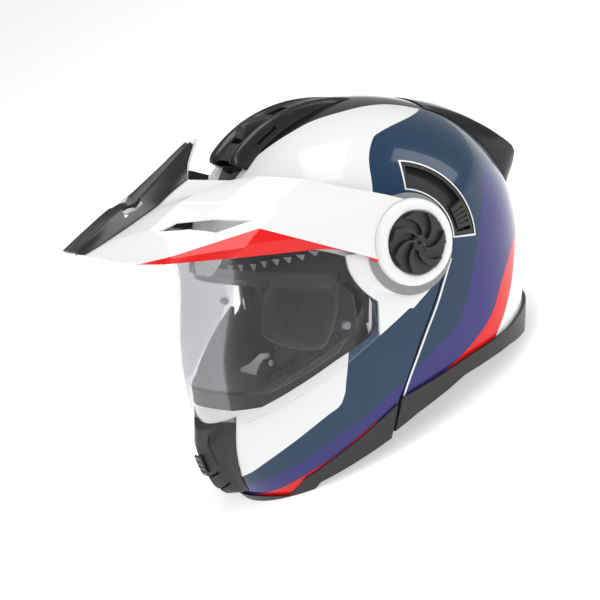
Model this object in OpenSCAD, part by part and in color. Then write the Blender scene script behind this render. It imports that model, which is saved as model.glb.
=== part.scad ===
// Flip-up touring helmet with a peak, a clear visor and an inner sun visor.
// Every shape is drawn as the helmet is worn, with its side pivots on the x axis:
// the rider's left is +x, the front is -y and the top is +z.
// worn() then tips it back until it stands on its chin and its nape.

/* [Painted skin] */
// Half of the widest width of the painted skin
skin_half_w = 125.5; // [120:0.5:130]
// How far the widest point of the skin lies behind the side pivots
middle_y = 26; // [22:1:30]
// How far the widest point of the skin lies below the side pivots
middle_drop = 6; // [2:1:10]
// Reach of the skin from its middle to the back
back_reach = 125.5; // [121:0.5:130]
// Reach to the upper back
upper_back_reach = 123.5; // [119:0.5:128]
// Reach to the rear of the crown
rear_crown_reach = 119.5; // [116:0.5:124]
// Reach to the crown
crown_reach = 115.5; // [112:0.5:119]
// Reach to the front of the crown
front_crown_reach = 118; // [114:0.5:122]
// Reach to the forehead
forehead_reach = 128; // [124:0.5:132]
// Reach to the brow
brow_reach = 134; // [130:0.5:138]
// Reach to the skin across the eyes
eye_reach = 147; // [143:0.5:151]
// Reach to the upper chin
upper_chin_reach = 184; // [180:0.5:188]
// Reach to the chin
chin_reach = 223; // [219:0.5:227]
// Reach to the throat
throat_reach = 230; // [226:0.5:234]
// Reach below the jaw
jaw_reach = 208; // [203:0.5:213]
// Reach below the neck
neck_reach = 178; // [173:0.5:183]
// Reach to the nape
nape_reach = 142; // [138:0.5:146]
// Thickness of the moulded shell
shell_wall = 3.8; // [3:0.1:4.5]

/* [Stance] */
// Angle by which the helmet leans back on a table
tilt = 31; // [29:0.5:33]
// How much of the chin trim's low corner the table flattens
chin_flat = 5.96; // [5.5:0.02:6.5]

/* [Chin bar] */
// Thickness of the chin bar's moulded skin
chin_wall = 3.4; // [3:0.1:4]
// Running gap between the chin bar and the shell under it
overlap_gap = 1.4; // [1:0.1:2]
// Gap at the seam where the chin bar meets the shell
seam_gap = 1.2; // [0.8:0.1:2]
// Radius of the hinge plates at the side pivots
hinge_r = 37; // [36:0.5:38]
// Thickness of a hinge plate
hinge_t = 4; // [3.5:0.1:4.5]
// Radius of the pivot boss
boss_r = 9; // [8:0.5:11]
// Radial clearance of the parts that turn on the boss
turn_gap = 0.1; // [0.05:0.01:0.1]

/* [Visor] */
// Half of the visor's width over the skin's middle
visor_half_w = 128.4; // [127.5:0.1:130]
// Thickness of the clear visor
visor_t = 2.2; // [1.8:0.1:2.6]
// Thickness of the visor's hub
visor_hub_t = 2.8; // [2.4:0.1:3.2]

/* [Peak] */
// Thickness of the peak
peak_t = 2.4; // [2:0.1:2.8]
// Radius of the round pods that carry the peak
pod_r = 33.5; // [32:0.5:35]
// Thickness of a pod
pod_t = 6; // [5:0.5:7]
// Radius of the peak's screw knobs
knob_r = 24; // [21:0.5:26]
// Height of a knob over its pod
knob_h = 7; // [5:0.5:9]

/* [Inner parts] */
// Thickness of the impact foam over the crown
foam_t = 24; // [20:1:28]
// Thickness of the comfort lining
lining_t = 8; // [6:1:10]
// How far inside the brow the sun visor swings
sun_inset = 39; // [38:0.5:42]
// Thickness of the sun visor
sun_t = 2; // [1.8:0.1:2.4]
// Half of the sun visor's width
sun_half_w = 86; // [82:1:88]
// Width of the chin strap
strap_w = 24; // [20:1:26]
// Thickness of the chin strap
strap_t = 2.4; // [2:0.1:3]

/* [Hidden] */

sun_r = brow_reach - sun_inset;  // radius at which the sun visor swings round the side pivots
wide = 400;                     // wider than the whole helmet
seat_gap = 0.3;                 // between a part and what carries it
middle = [middle_y, -middle_drop];

// Outline of the skin in the side view: angle from the back, then reach from the middle
skin_rim = [[0, back_reach], [30, upper_back_reach], [60, rear_crown_reach], [90, crown_reach],
    [120, front_crown_reach], [150, forehead_reach], [172, brow_reach], [195, eye_reach],
    [218, upper_chin_reach], [240, chin_reach], [262, throat_reach], [285, jaw_reach],
    [310, neck_reach], [335, nape_reach]];
// How square each cross-section is: 2 is an ellipse, more is squarer, less is more pointed
skin_full = [[0, 2.2], [90, 2.2], [170, 2.15], [215, 1.78], [240, 1.92], [262, 2.15],
    [290, 2.3], [330, 2.3]];
// How far the visor stands out from the skin's outline at the same angles
visor_lift = [0, 0, 2, 4, 8, 17, 23, 6.5, 4.2, 3.8, 3.8, 0, 0, 0];
visor_rim = [for (i = [0 : len(skin_rim) - 1]) skin_rim[i] + [0, visor_lift[i]]];
visor_full = [[0, 2.3], [172, 2.3], [195, 2.15], [218, 1.95], [260, 2]];

// Value at angle a of a closed smooth curve through a list of [angle, value]
function turned(a) = a - 360 * floor(a / 360);
function span(k, a, i = 0) = i + 1 < len(k) && k[i + 1][0] <= a ? span(k, a, i + 1) : i;
function blend(p, q, r, s, a) =
    let (h = r[0] - q[0], t = (a - q[0]) / h,
         m = (r[1] - p[1]) / (r[0] - p[0]), n = (s[1] - q[1]) / (s[0] - q[0]))
    (2 * t ^ 3 - 3 * t ^ 2 + 1) * q[1] + (t ^ 3 - 2 * t ^ 2 + t) * h * m
    + (3 * t ^ 2 - 2 * t ^ 3) * r[1] + (t ^ 3 - t ^ 2) * h * n;
function knot(k, i) = let (n = len(k), lap = floor(i / n)) k[i - lap * n] + [360 * lap, 0];
function at(k, a) =
    let (b = turned(a), i = span(k, b)) blend(knot(k, i - 1), knot(k, i), knot(k, i + 1), knot(k, i + 2), b);

// Point on the skin at angle a of the side view and width x, standing out by t
function reach_at(a, x, t) =
    let (n = at(skin_full, a), s = min(1, abs(x) / (skin_half_w + t)))
    (at(skin_rim, a) + t) * (1 - s ^ n) ^ (1 / n);
function on_skin(a, x, t) =
    let (r = reach_at(a, x, t)) [x, middle[0] + r * cos(a), middle[1] + r * sin(a)];
// Half width of an egg, and of the skin, at a point of the side view, standing out by t
function egg_w_at(rim, full, half_w, p, t) =
    let (d = p - middle, a = atan2(d[1], d[0]), n = at(full, a))
    (half_w + t) * max(0, 1 - (norm(d) / (at(rim, a) + t)) ^ n) ^ (1 / n);
function half_w_at(p, t) = egg_w_at(skin_rim, skin_full, skin_half_w, p, t);
// Side-view point on the outline at angle a, standing out by t
function on_rim(a, t = 0) = middle + (at(skin_rim, a) + t) * [cos(a), sin(a)];

// Stands what is drawn as worn on the table
module worn() translate([0, stand_y, pivot_h]) rotate([-tilt, 0, 0]) children();
stand_y = 16.3;                  // puts the origin under the middle of the helmet's box

// One moulding, taken as a single closed skin
module moulded() resize([0, 0, 0]) children();

// Prism across the helmet whose side view is the outline pts
module across(pts) rotate([90, 0, 90]) linear_extrude(wide, center = true) polygon(pts);

// Left half, or right half, of its children
module one_side(s) intersection() {
    children();
    translate([s * wide / 2, 0, 0]) cube([wide, 2 * wide, 2 * wide], center = true);
}

// Closed egg shape through a side outline, standing out by t
module egg(rim, full, half_w, t, steps, rows) {
    w = half_w + t;
    ring = [for (i = [0 : steps - 1]) let (a = 360 * i / steps)
        [cos(a), sin(a), at(rim, a) + t, 2 / at(full, a)]];
    points = concat([[-w, middle[0], middle[1]]],
        [for (j = [1 : 2 * rows - 1]) let (f = 90 * j / rows - 90)
            for (p = ring) let (r = p[2] * cos(f) ^ p[3])
                [sign(f) * w * abs(sin(f)) ^ p[3], middle[0] + r * p[0], middle[1] + r * p[1]]],
        [[w, middle[0], middle[1]]]);
    last = len(points) - 1;
    function id(j, i) = 1 + (j - 1) * steps + i % steps;
    faces = concat(
        [for (i = [0 : steps - 1]) [0, id(1, i), id(1, i + 1)]],
        [for (i = [0 : steps - 1]) [last, id(2 * rows - 1, i + 1), id(2 * rows - 1, i)]],
        [for (j = [1 : 2 * rows - 2]) for (i = [0 : steps - 1])
            for (f = [[id(j, i), id(j + 1, i), id(j + 1, i + 1)],
                      [id(j, i), id(j + 1, i + 1), id(j, i + 1)]]) f]);
    polyhedron(points, faces, convexity = 6);
}
module skin(t, steps = 36, rows = 7) egg(skin_rim, skin_full, skin_half_w, t, steps, rows);
module visor_skin(t) egg(visor_rim, visor_full, visor_half_w, t, 36, 7);

// Closed slab between two grids of points: a[i][j] is its outer face, b[i][j] its inner one
module slab(a, b) {
    n = len(a);
    m = len(a[0]);
    count = n * m;
    function id(i, j) = i * m + j;
    top = [for (i = [0 : n - 2]) for (j = [0 : m - 2])
        for (f = [[id(i, j), id(i + 1, j), id(i + 1, j + 1)],
                  [id(i, j), id(i + 1, j + 1), id(i, j + 1)]]) f];
    under = [for (f = top) [f[0] + count, f[2] + count, f[1] + count]];
    edge = concat([for (i = [0 : n - 2]) id(i, 0)], [for (j = [0 : m - 2]) id(n - 1, j)],
        [for (i = [n - 1 : -1 : 1]) id(i, m - 1)], [for (j = [m - 1 : -1 : 1]) id(0, j)]);
    walls = [for (k = [0 : len(edge) - 1])
        let (p = edge[k], q = edge[(k + 1) % len(edge)])
            for (f = [[q, p, p + count], [q, p + count, q + count]]) f];
    polyhedron(concat([for (c = a) for (p = c) p], [for (c = b) for (p = c) p]),
        concat(top, under, walls), convexity = 6);
}

// Blister on the skin: rows of [angle, half width, lift] from rear to front.
// across_it holds [share of the half width, share of the lift] from right to left.
rounded = [[-1, 0], [-0.85, 0.7], [-0.5, 0.95], [0, 1], [0.5, 0.95], [0.85, 0.7], [1, 0]];
module blister(rows, across_it = rounded) difference() {
    slab([for (s = across_it) [for (r = rows) on_skin(r[0], s[0] * r[1], max(0.9, s[1] * r[2]))]],
        [for (s = across_it) [for (r = rows) on_skin(r[0], s[0] * r[1], -2)]]);
    skin(seat_gap);
}
// Block on the skin between two angles, within half width w and between lifts lo and hi
module block(a0, a1, w, lo, hi, n = 3) slab(
    [for (x = [-w, 0, w]) [for (j = [0 : n]) on_skin(a0 + (a1 - a0) * j / n, x, hi)]],
    [for (x = [-w, 0, w]) [for (j = [0 : n]) on_skin(a0 + (a1 - a0) * j / n, x, lo)]]);

// Left side, or right side where s is -1
module side(s) mirror([s < 0 ? 1 : 0, 0, 0]) children();
module both_sides() { children(); mirror([1, 0, 0]) children(); }
// Disc round the pivot axis between x0 and x1, and a cone that widens inwards
module disc(r, x0, x1) translate([x0, 0, 0]) rotate([0, 90, 0]) cylinder(r = r, h = x1 - x0, $fn = 48);
module cone(r, x) translate([cone_x, 0, 0]) rotate([0, 90, 0])
    cylinder(r1 = r + cone_slope * (x - cone_x), r2 = r, h = x - cone_x, $fn = 48);
cone_x = 90;
cone_slope = 1.1;
// Rod along x at a point of the side view
module rod(p, r, x0, x1) translate([x0, p[0], p[1]]) rotate([0, 90, 0])
    cylinder(r = r, h = x1 - x0, $fn = 32);
// Plate whose side view is its child, between x0 and x1
module plate(x0, x1) translate([x0, 0, 0]) rotate([90, 0, 90]) linear_extrude(x1 - x0) children();
// Plate whose front view is its child, between y0 and y1
module strip(y0, y1) translate([0, y1, 0]) rotate([90, 0, 0]) linear_extrude(y1 - y0) children();
// Everything below a side-view line that runs from front to back, or above it
module below(line) across(concat(line, [[300, -300], [-300, -300]]));
module above(line) across(concat(line, [[300, 300], [-300, 300]]));
function moved(line, d) = [for (p = line) p + d];
function reversed(line) = [for (i = [len(line) - 1 : -1 : 0]) line[i]];

// Side-view lines, in millimetres from the pivot axis
seam = [[34, -12], [28, -30], [23, -46], [12, -77], [0, -124], [-1, -152]];
port_top_z = -31;               // lower edge of the brow
port_low = [[-24, -48], [-22, -62], [-28, -73], [-50, -91], [-92, -129], [-106, -134]];
shell_front = [[-40, port_top_z], [-33, -36], [-29, -48], [-16, -110], [-13, -300]];
trim_top = [[-300, -280], [-2, -123], [32, -105], [60, -90], [83, -80], [101, -72], [111, -66],
    [190, -30]];
trim_low = [[-3, -151], [17, -134], [40, -118], [56, -106], [79, -96], [103, -86], [127, -80],
    [190, -76]];
lap = 5;                        // how far a trim covers the edge that it grips
chin_low = [[-300, -208], [-84, -208], [-60, -203], [-58, -196], [-56, -187], [-45, -174],
    [-2, -127], [20, -106]];
chin_trim_low = [[-55, -300], [-55, -208], [-48, -200], [-45, -190], [-1, -154], [20, -137]];

// Stack of the side pivot, outwards from the shell
seat_x = skin_half_w - 8.5;                 // pad of the shell that carries the pivot base
base_x = seat_x + 2.6;                      // outer face of the pivot base's flange
hinge_x = base_x + seat_gap;                // inner face of the chin bar's hinge plate
hub_x = hinge_x + hinge_t + seat_gap;       // inner face of the visor's hub
pod_x = hub_x + visor_hub_t + seat_gap;     // inner face of the peak's pod
knob_x = pod_x + pod_t + seat_gap;          // inner face of the knob
knob_top_x = knob_x + knob_h;
bore_r = boss_r + turn_gap;
bolt_r = 4;
seat_r = hinge_r + 1.5;                     // round well in the shell round the hinge
seat_wall = 3;
seat_t = 4;                     // thickness of the pad under the pivot base
hub_r = hinge_r - 4;
under_chin = chin_wall + overlap_gap;       // how deep the shell lies under the chin bar

// Well of the sun visor's slider, a ring sector round the left pivot
track_r0 = seat_r + 1.5;
track_r1 = 60;
track_a0 = 4;
track_a1 = 97;
slider_a = 22;                              // where the slider rests
slider_half_a = 10.5;
function arc(r, a0, a1, n = 8) = [for (i = [0 : n]) let (a = a0 + (a1 - a0) * i / n)
    r * [cos(a), sin(a)]];
module left_sector(r0, r1, a0, a1) one_side(1) across(concat(arc(r1, a0, a1), arc(r0, a1, a0)));

// Where the chin bar lies over the shell, reaching back by d
function overlap_zone(d) = moved(concat([[-300, -90], [-60, -90], [-50, -24], [0, 0]],
    moved(seam, [seam_gap, 0]), [[-1 + seam_gap, -300], [-300, -300]]), [d, d]);
// Skin at depth t that drops by under_chin where the chin bar overlaps it
module stepped(t) difference() {
    skin(t);
    difference() {
        across(overlap_zone(-t));
        skin(t - under_chin);
    }
}
// Height of the side pivots over the table, from the low corner of the chin trim
pivot_h = chin_trim_low[1][0] * sin(tilt) - chin_trim_low[1][1] * cos(tilt) - chin_flat;
// Everything below the table top, as the worn helmet sees it
module under_table() rotate([tilt, 0, 0]) translate([0, 0, -pivot_h - wide / 2])
    cube([wide, 2 * wide, wide], center = true);

// The shell and what is fixed to it

module outer_shell() color("#1f3347") worn() moulded() difference() {
    union() {
        difference() {
            stepped(0);
            stepped(-shell_wall);
        }
        intersection() {
            stepped(0);
            both_sides() disc(seat_r + seat_wall, seat_x - seat_t, wide / 2);
        }
        both_sides() disc(hinge_r - seat_gap, seat_x - seat_t + 0.2, seat_x + 1);
    }
    both_sides() disc(seat_r, seat_x, wide / 2);
    across(concat([[-300, port_top_z]], shell_front, [[-300, -300]]));
    below(moved(trim_top, [0, -lap]));
    across([[-300, -126], [4, -126], [4, -300], [-300, -300]]);
    left_sector(track_r0, track_r1, track_a0, track_a1);
}

// The rim of black rubbery moulding that grips the shell's lower edge, with a lip at the nape
trim_proud = 3;
trim_depth = 11;
module shell_edge_trim() color("#2c2b2a") worn() moulded() difference() {
    union() {
        difference() {
            skin(trim_proud);
            skin(-trim_depth);
            above(trim_top);
            below(trim_low);
            across(concat([[-300, 300], [34, 300]], moved(seam, [seam_gap, 0]),
                [[-1 + seam_gap, -300], [-300, -300]]));
        }
        blister([[326, 62, 6], [331, 60, 11], [337, 56, 12], [342, 50, 7], [345, 46, 2]]);
    }
    difference() {
        stepped(seat_gap);
        stepped(-shell_wall - seat_gap);
        below(moved(trim_top, [0, -lap - seat_gap]));
    }
    under_table();
}

// The liner of bead foam is moulded in three: a crown, and two sides that meet at the back
foam_split_z = 26;
module impact_foam() difference() {
    stepped(-shell_wall - seat_gap);
    skin(-shell_wall - foam_t, 28, 6);
    across(concat([[-300, port_top_z + 12]], moved(shell_front, [8, 12]), [[-300, -300]]));
    below(moved(trim_top, [0, lap]));
    both_sides() disc(seat_r + seat_wall + seat_gap, seat_x - seat_t - seat_gap, wide / 2);
    both_sides() disc(sun_pin_r + 1, sun_arm_x - 4, wide / 2);
    sun_arm_space();
    sun_slot();
    left_sector(track_r0 - 1, track_r1 + 1, track_a0 - 1, track_a1 + 1);
    both_sides() plate(60, wide / 2) translate(anchor + [0, -6]) square([strap_w + 6, 32], center = true);
    both_sides() rod(striker, striker_r + 1.5, 60, wide / 2);
}
module crown_foam() color("#3a3a3c") worn() moulded() intersection() {
    impact_foam();
    above([[300, foam_split_z], [-300, foam_split_z]]);
}
module side_foam(s) one_side(s) difference() {
    impact_foam();
    above([[300, foam_split_z - seat_gap], [-300, foam_split_z - seat_gap]]);
}
module side_foam_left() color("#3a3a3c") worn() moulded() side_foam(1);
module side_foam_right() color("#3a3a3c") worn() moulded() side_foam(-1);
// Free space for the arms of the sun visor, down to their lowest place
module sun_arm_space() both_sides() plate(sun_arm_x - 1.5, sun_half_w + 1.5) union() {
    polygon(concat([[9, -9], [9, 9]], arc(sun_arm_r + 4, sun_top_a - 4, sun_low_a + sun_swing)));
    circle(12, $fn = 24);
}
// Free space for the sun visor inside the shell, as a band round the pivot axis
module sun_slot() rotate([sun_top_a - 5, 0, 0]) rotate([90, 0, 90])
    rotate_extrude(angle = 90, $fn = 36) sun_section(-sun_t - 6.5, 40, sun_half_w + 2);

module crown_lining() color("#2b2b2d") worn() moulded() difference() {
    skin(-shell_wall - foam_t - 0.8, 28, 6);
    skin(-shell_wall - foam_t - lining_t, 28, 6);
    across([[-300, -6], [-50, 0], [-20, 10], [60, 10], [110, -40], [300, -40], [300, -300],
        [-300, -300]]);
    sun_arm_space();
}

// Cheek pads: crowned cushions against the foam, drawn in at their edges
pad_at = [16, -68];             // middle of a pad in the side view
pad_half = [33, 31];            // half of its length and height
pad_lean = [10, -8];
pad_edge_t = 7;
pad_crown = 20;
pad_us = [-1, -0.8, -0.5, 0, 0.5, 0.8, 1];
function pad_place(u, v) = pad_at + [pad_half[0] * u + pad_lean[0] * v,
    pad_half[1] * v + pad_lean[1] * u];
function pad_lift(u, v) = pad_edge_t + pad_crown * sqrt((1 - u ^ 4) * (1 - v ^ 4));
function pad_point(u, v, lift) = let (p = pad_place(u, v))
    [half_w_at(p, -shell_wall - foam_t - 1.6) - lift, p[0], p[1]];
module cheek_pad() slab([for (v = pad_us) [for (u = pad_us) pad_point(u, v, 0)]],
    [for (v = pad_us) [for (u = pad_us) pad_point(u, v, pad_lift(u, v))]]);
module cheek_pad_left() color("#2b2b2d") worn() moulded() cheek_pad();
module cheek_pad_right() color("#2b2b2d") worn() moulded() mirror([1, 0, 0]) cheek_pad();

module neck_roll() color("#222224") worn() moulded() difference() {
    skin(-trim_depth - 0.8);
    skin(-trim_depth - 14, 28, 6);
    above(moved(trim_top, [0, lap - 1]));
    below(moved(trim_low, [0, 4]));
    across([[-300, 300], [-300, -300], [58, -300], [58, 300]]);
}

module brow_seal() color("#1c1c1c") worn() moulded() difference() {
    skin(-shell_wall - seat_gap);
    skin(-shell_wall - 5);
    above([[-300, port_top_z + 7.5], [-42, port_top_z + 7.5], [300, port_top_z + 7.5]]);
    below([[-300, port_top_z - 1.5], [300, port_top_z - 1.5]]);
    across([[-52, -300], [300, -300], [300, 300], [-52, 300]]);
}

// Top vent: a scoop with a mouth at the brow and a slider on top
vent_rows = [[102, 24, 1.2], [110, 24, 4.5], [118, 24, 7], [125, 24, 8.5], [131, 24, 9.5],
    [137, 24, 10], [143, 24, 10.5], [149, 24, 11], [151, 23, 9]];
vent_floor = 5;
module top_vent_housing() color("#2c2b2a") worn() moulded() difference() {
    blister(vent_rows);
    block(146, 155, 15, 3, 7.5);
    block(124, 144, 9, vent_floor, 20);
}
module top_vent_slider() color("#242424") worn() moulded() difference() {
    blister([[131, 8, 11.5], [135, 8, 15], [139, 8, 16], [142.5, 8, 11]]);
    skin(vent_floor + 1.6);
}

module rear_spoiler() color("#161617") worn() moulded()
    blister([[20, 50, 5], [24, 52, 20], [30, 54, 24], [36, 55, 19], [43, 56, 13], [50, 56, 8],
        [58, 56, 4], [66, 56, 1.1]]);

grille_rows = [[0, 46, 1.2], [4, 46, 3.2], [10, 46, 3.8], [15, 46, 3.4], [18.5, 46, 1.2]];
module rear_vent_grille() color("#202021") worn() moulded() difference() {
    blister(grille_rows);
    for (a = [4.5 : 3.4 : 13]) block(a, a + 1.7, 36, 1.4, 9, 1);
}

module pivot_base() difference() {
    union() {
        disc(hinge_r - 0.5, seat_x, base_x);
        disc(boss_r, seat_x, pod_x - seat_gap);
    }
    disc(bolt_r + turn_gap, seat_x - 1, pod_x + 1);
}
module pivot_base_left() color("#8a8d90") worn() pivot_base();
module pivot_base_right() color("#8a8d90") worn() side(-1) pivot_base();

// Well for the slider that works the sun visor, and the slider
module sun_slider_track() color("#1c1c1d") worn() moulded() intersection() {
    difference() {
        skin(-0.6);
        skin(-7);
        difference() {
            left_sector(track_r0 + 2.5, track_r1 - 2.5, track_a0 + 3, track_a1 - 3);
            skin(-5.4);
        }
    }
    left_sector(track_r0 + seat_gap, track_r1 - seat_gap, track_a0 + 0.4, track_a1 - 0.4);
}
module sun_slider() color("#262627") worn() moulded() intersection() {
    difference() {
        skin(0.8);
        skin(-3.2);
    }
    left_sector(track_r0 + 3.5, track_r1 - 3.5, slider_a - slider_half_a, slider_a + slider_half_a);
}

// Sun visor: a band that turns on itself round the pivot axis, and its two arms
sun_arm_x = sun_half_w - sun_t;
sun_pin_r = 4;
sun_top_a = 126;
sun_low_a = 190;
sun_flare = 12;
sun_swing = 40;                 // how far the sun visor comes down, in degrees
function sun_reach(x, t, w) = (sun_r + t) * (1 - (abs(x) / (w + sun_flare)) ^ 2.6) ^ (1 / 2.6);
module sun_section(t0, t1, w) polygon(concat(
    [for (i = [-5 : 5]) [sun_reach(w * i / 5, t1, w), w * i / 5]],
    [for (i = [5 : -1 : -5]) [sun_reach(w * i / 5, t0, w), w * i / 5]]));
sun_arm_r = sun_reach(sun_half_w, -sun_t / 2, sun_half_w);
module sun_visor() color([0.35, 0.35, 0.4, 0.7]) worn() moulded() union() {
    rotate([sun_top_a, 0, 0]) rotate([90, 0, 90])
        rotate_extrude(angle = sun_low_a - sun_top_a, $fn = 40) sun_section(-sun_t, 0, sun_half_w);
    both_sides() difference() {
        plate(sun_arm_x, sun_half_w) union() {
            polygon(concat([[9, 0]], [[0, 9]], arc(sun_arm_r, sun_top_a + 6, sun_low_a - 4), [[0, -9]]));
            circle(10, $fn = 32);
        }
        rod([0, 0], sun_pin_r + turn_gap, sun_arm_x - 1, sun_half_w + 1);
    }
}
module sun_visor_pins() color("#b9bcc0") worn() both_sides() {
    rod([0, 0], sun_pin_r, sun_arm_x - 2, seat_x - seat_t);
    rod([0, 0], sun_pin_r + 3, sun_arm_x - 4, sun_arm_x - 1);
}

// Strikers: pins on the shell that the chin bar's hooks catch
striker = [-9.5, -116];
striker_r = 2.5;
striker_x = 86;
module latch_strikers() color("#b9bcc0") worn() both_sides() rod(striker, striker_r, striker_x,
    half_w_at(striker, -shell_wall - under_chin) - 1.7);

// Chin strap with its quick-release buckle
strap_y0 = -6;
strap_y1 = strap_y0 + strap_w;
strap_low_z = -132;
anchor = [6, -110];             // rivet of a strap's anchor in the side view
anchor_x = 92.6;
strap_hang = [[anchor_x - 1.5, anchor[1] + 6], [anchor_x - 2.5, anchor[1] - 4], [81, strap_low_z + 8],
    [62, strap_low_z + 1]];
function ribbon(r, t) = let (n = len(r),
    d = [for (i = [0 : n - 1]) let (v = r[min(i + 1, n - 1)] - r[max(i - 1, 0)])
        [-v[1], v[0]] / norm(v) * t / 2])
    concat([for (i = [0 : n - 1]) r[i] + d[i]], [for (i = [n - 1 : -1 : 0]) r[i] - d[i]]);
buckle_x0 = 12;
buckle_x1 = 42;
module strap_left() color("#1d1d1e") worn() strip(strap_y0, strap_y1)
    polygon(ribbon(concat(strap_hang, [[buckle_x1 + 0.2, strap_low_z]]), strap_t));
ladder_x0 = -28;
module strap_right() color("#1d1d1e") worn() strip(strap_y0, strap_y1) mirror([1, 0])
    polygon(ribbon(concat(strap_hang, [[-ladder_x0 + 0.2, strap_low_z]]), strap_t));
module strap_anchors() color("#9a9da0") worn() both_sides() {
    plate(anchor_x, anchor_x + 2) translate(anchor) square([16, 14], center = true);
    rod(anchor, 4, anchor_x + 2, half_w_at(anchor, -shell_wall - under_chin) - 2.4);
}

buckle_wall = 2.5;
buckle_y0 = strap_y0 - buckle_wall;
buckle_y1 = strap_y1 + buckle_wall;
buckle_h = 9;
lever_t = 3;
lever_at = [buckle_x1 - 7, strap_low_z - buckle_h / 2 - 3.4];   // hinge pin in the front view
lever_pin_r = 1.5;
module buckle_body() color("#b0b3b6") worn() difference() {
    union() {
        translate([buckle_x0, buckle_y0, strap_low_z - buckle_h / 2])
            cube([buckle_x1 - buckle_x0, buckle_y1 - buckle_y0, buckle_h]);
        for (y = [buckle_y0, buckle_y1 - buckle_wall]) translate([lever_at[0] - 4, y, lever_at[1] - 3])
            cube([8, buckle_wall, 8]);
    }
    translate([buckle_x0 - 1, strap_y0 - seat_gap, strap_low_z - 2.2])
        cube([24, strap_w + 2 * seat_gap, 5]);
    strip(buckle_y0 - 1, buckle_y1 + 1) translate(lever_at) circle(lever_pin_r + 0.1, $fn = 24);
}
module buckle_lever() color("#c8201c") worn() difference() {
    strip(strap_y0 + 1, strap_y1 - 1) union() {
        translate(lever_at) circle(lever_t, $fn = 24);
        translate([lever_at[0] - 22, lever_at[1] - lever_t]) square([22, lever_t]);
    }
    strip(strap_y0, strap_y1) translate(lever_at) circle(lever_pin_r + turn_gap, $fn = 24);
}
module buckle_lever_pin() color("#b0b3b6") worn() strip(buckle_y0, buckle_y1)
    translate(lever_at) circle(lever_pin_r, $fn = 24);
ladder_teeth = 9;
module strap_ladder() color("#2c2b2a") worn() strip(strap_y0 + 2, strap_y1 - 2) union() {
    translate([ladder_x0, strap_low_z - 1.2]) square([60, 2.4]);
    for (i = [0 : ladder_teeth - 1]) translate([ladder_x0 + 8 + 5 * i, strap_low_z + 1])
        polygon([[0, 0], [3, 0], [3, 1.2]]);
}

// The chin bar and what is fixed to it

arm_top = [[-34, -14], [0, 0], [34, -8]];
module chin_zone() across(concat([[-300, port_top_z - 1]], arm_top, seam, [[-1, -300], [-300, -300]]));
module eye_port() across(concat([[-300, 300], [-36, 300], [-36, -22]], port_low, [[-300, -136]]));
arm_in_x = seat_x - 3.5;        // the arms stay outside this near the pivots
module chin_bar_shell() color("#1f3347") worn() moulded() difference() {
    intersection() {
        union() {
            skin(0);
            both_sides() cone(hinge_r + seat_gap, hinge_x + hinge_t);
        }
        chin_zone();
    }
    skin(-chin_wall);
    eye_port();
    both_sides() disc(hinge_r + seat_gap, 60, wide / 2);
    both_sides() disc(seat_r + 8, 60, arm_in_x);
    below(moved(chin_low, [0, -lap]));
    under_table();
}

chin_trim_depth = 10;
module chin_bar_trim() color("#2c2b2a") worn() moulded() difference() {
    skin(2.2);
    skin(-chin_trim_depth);
    above(chin_low);
    below(chin_trim_low);
    across([[-1, -300], [300, -300], [300, 300], [-1, 300]]);
    difference() {
        skin(seat_gap);
        skin(-chin_wall - seat_gap);
        below(moved(chin_low, [0, -lap - seat_gap]));
    }
    under_table();
}

chin_foam_t = 15;
chin_clear_r = 128;             // what the shell and its lining need round the pivot axis
module chin_foam() color("#3a3a3c") worn() moulded() difference() {
    skin(-chin_wall - seat_gap);
    skin(-chin_wall - chin_foam_t, 28, 6);
    both_sides() plate(hook_x - 2.5, wide / 2)
        translate(hook_at + [6, 6]) square([36, 40], center = true);
    above(concat([[-300, -143]], moved(reversed(port_low), [0, -8])));
    below(moved(chin_low, [0, 20]));
    button_space();
    disc(chin_clear_r, -wide / 2, wide / 2);
    across([[-24, -300], [300, -300], [300, 300], [-24, 300]]);
}

prow = [[-1, 0.08], [-0.7, 0.18], [-0.32, 0.75], [0, 1], [0.32, 0.75], [0.7, 0.18], [1, 0.08]];
module chin_vent_housing() color("#2c2b2a") worn() moulded() difference() {
    blister([[225.5, 38, 8], [228, 35, 15], [232, 29, 16], [236, 23, 15], [239, 17, 11], [241.5, 13, 3]],
        prow);
    under_table();
}
module chin_vent_shutter() color("#3a3a3a") worn() moulded() block(229, 233, 5, 16.8, 19);

module breath_guard() color("#202021") worn() moulded() difference() {
    skin(-chin_wall - chin_foam_t - 0.8, 28, 6);
    skin(-chin_wall - chin_foam_t - 2.8, 28, 6);
    above([[-300, -116], [-100, -116], [-84, -122], [300, -122]]);
    below([[-300, -152], [300, -152]]);
    across([[-70, -300], [300, -300], [300, 300], [-70, 300]]);
}

curtain_t = 1.8;
curtain_xs = [-60, -45, -30, -15, 0, 15, 30, 45, 60];
curtain_reach = [30, 9];        // how far it runs back and up from the trim
function curtain_front(x) = on_skin(244, x, -chin_trim_depth - 1.5);
function curtain_rear(x) = curtain_front(x) + [0, curtain_reach[0], curtain_reach[1]] * (1 - (x / 80) ^ 2);
module chin_curtain() color("#202021") worn() moulded() difference() {
    slab([for (x = curtain_xs) [curtain_rear(x), curtain_front(x)]],
        [for (x = curtain_xs) [for (p = [curtain_rear(x), curtain_front(x)]) p - [0, 0, curtain_t]]]);
    under_table();
}

module visor_seal() color("#1c1c1c") worn() moulded() difference() {
    skin(-chin_wall - seat_gap);
    skin(-chin_wall - 4);
    above(concat([[-300, -135]], reversed(port_low)));
    below(concat([[-300, -141]], moved(reversed(port_low), [0, -6])));
    across([[-26, -300], [300, -300], [300, 300], [-26, 300]]);
}

module chin_hinge() difference() {
    disc(hinge_r, hinge_x, hinge_x + hinge_t);
    disc(bore_r, hinge_x - 1, hinge_x + hinge_t + 1);
}
module chin_hinge_left() color("#8f9296") worn() chin_hinge();
module chin_hinge_right() color("#8f9296") worn() side(-1) chin_hinge();

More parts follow.
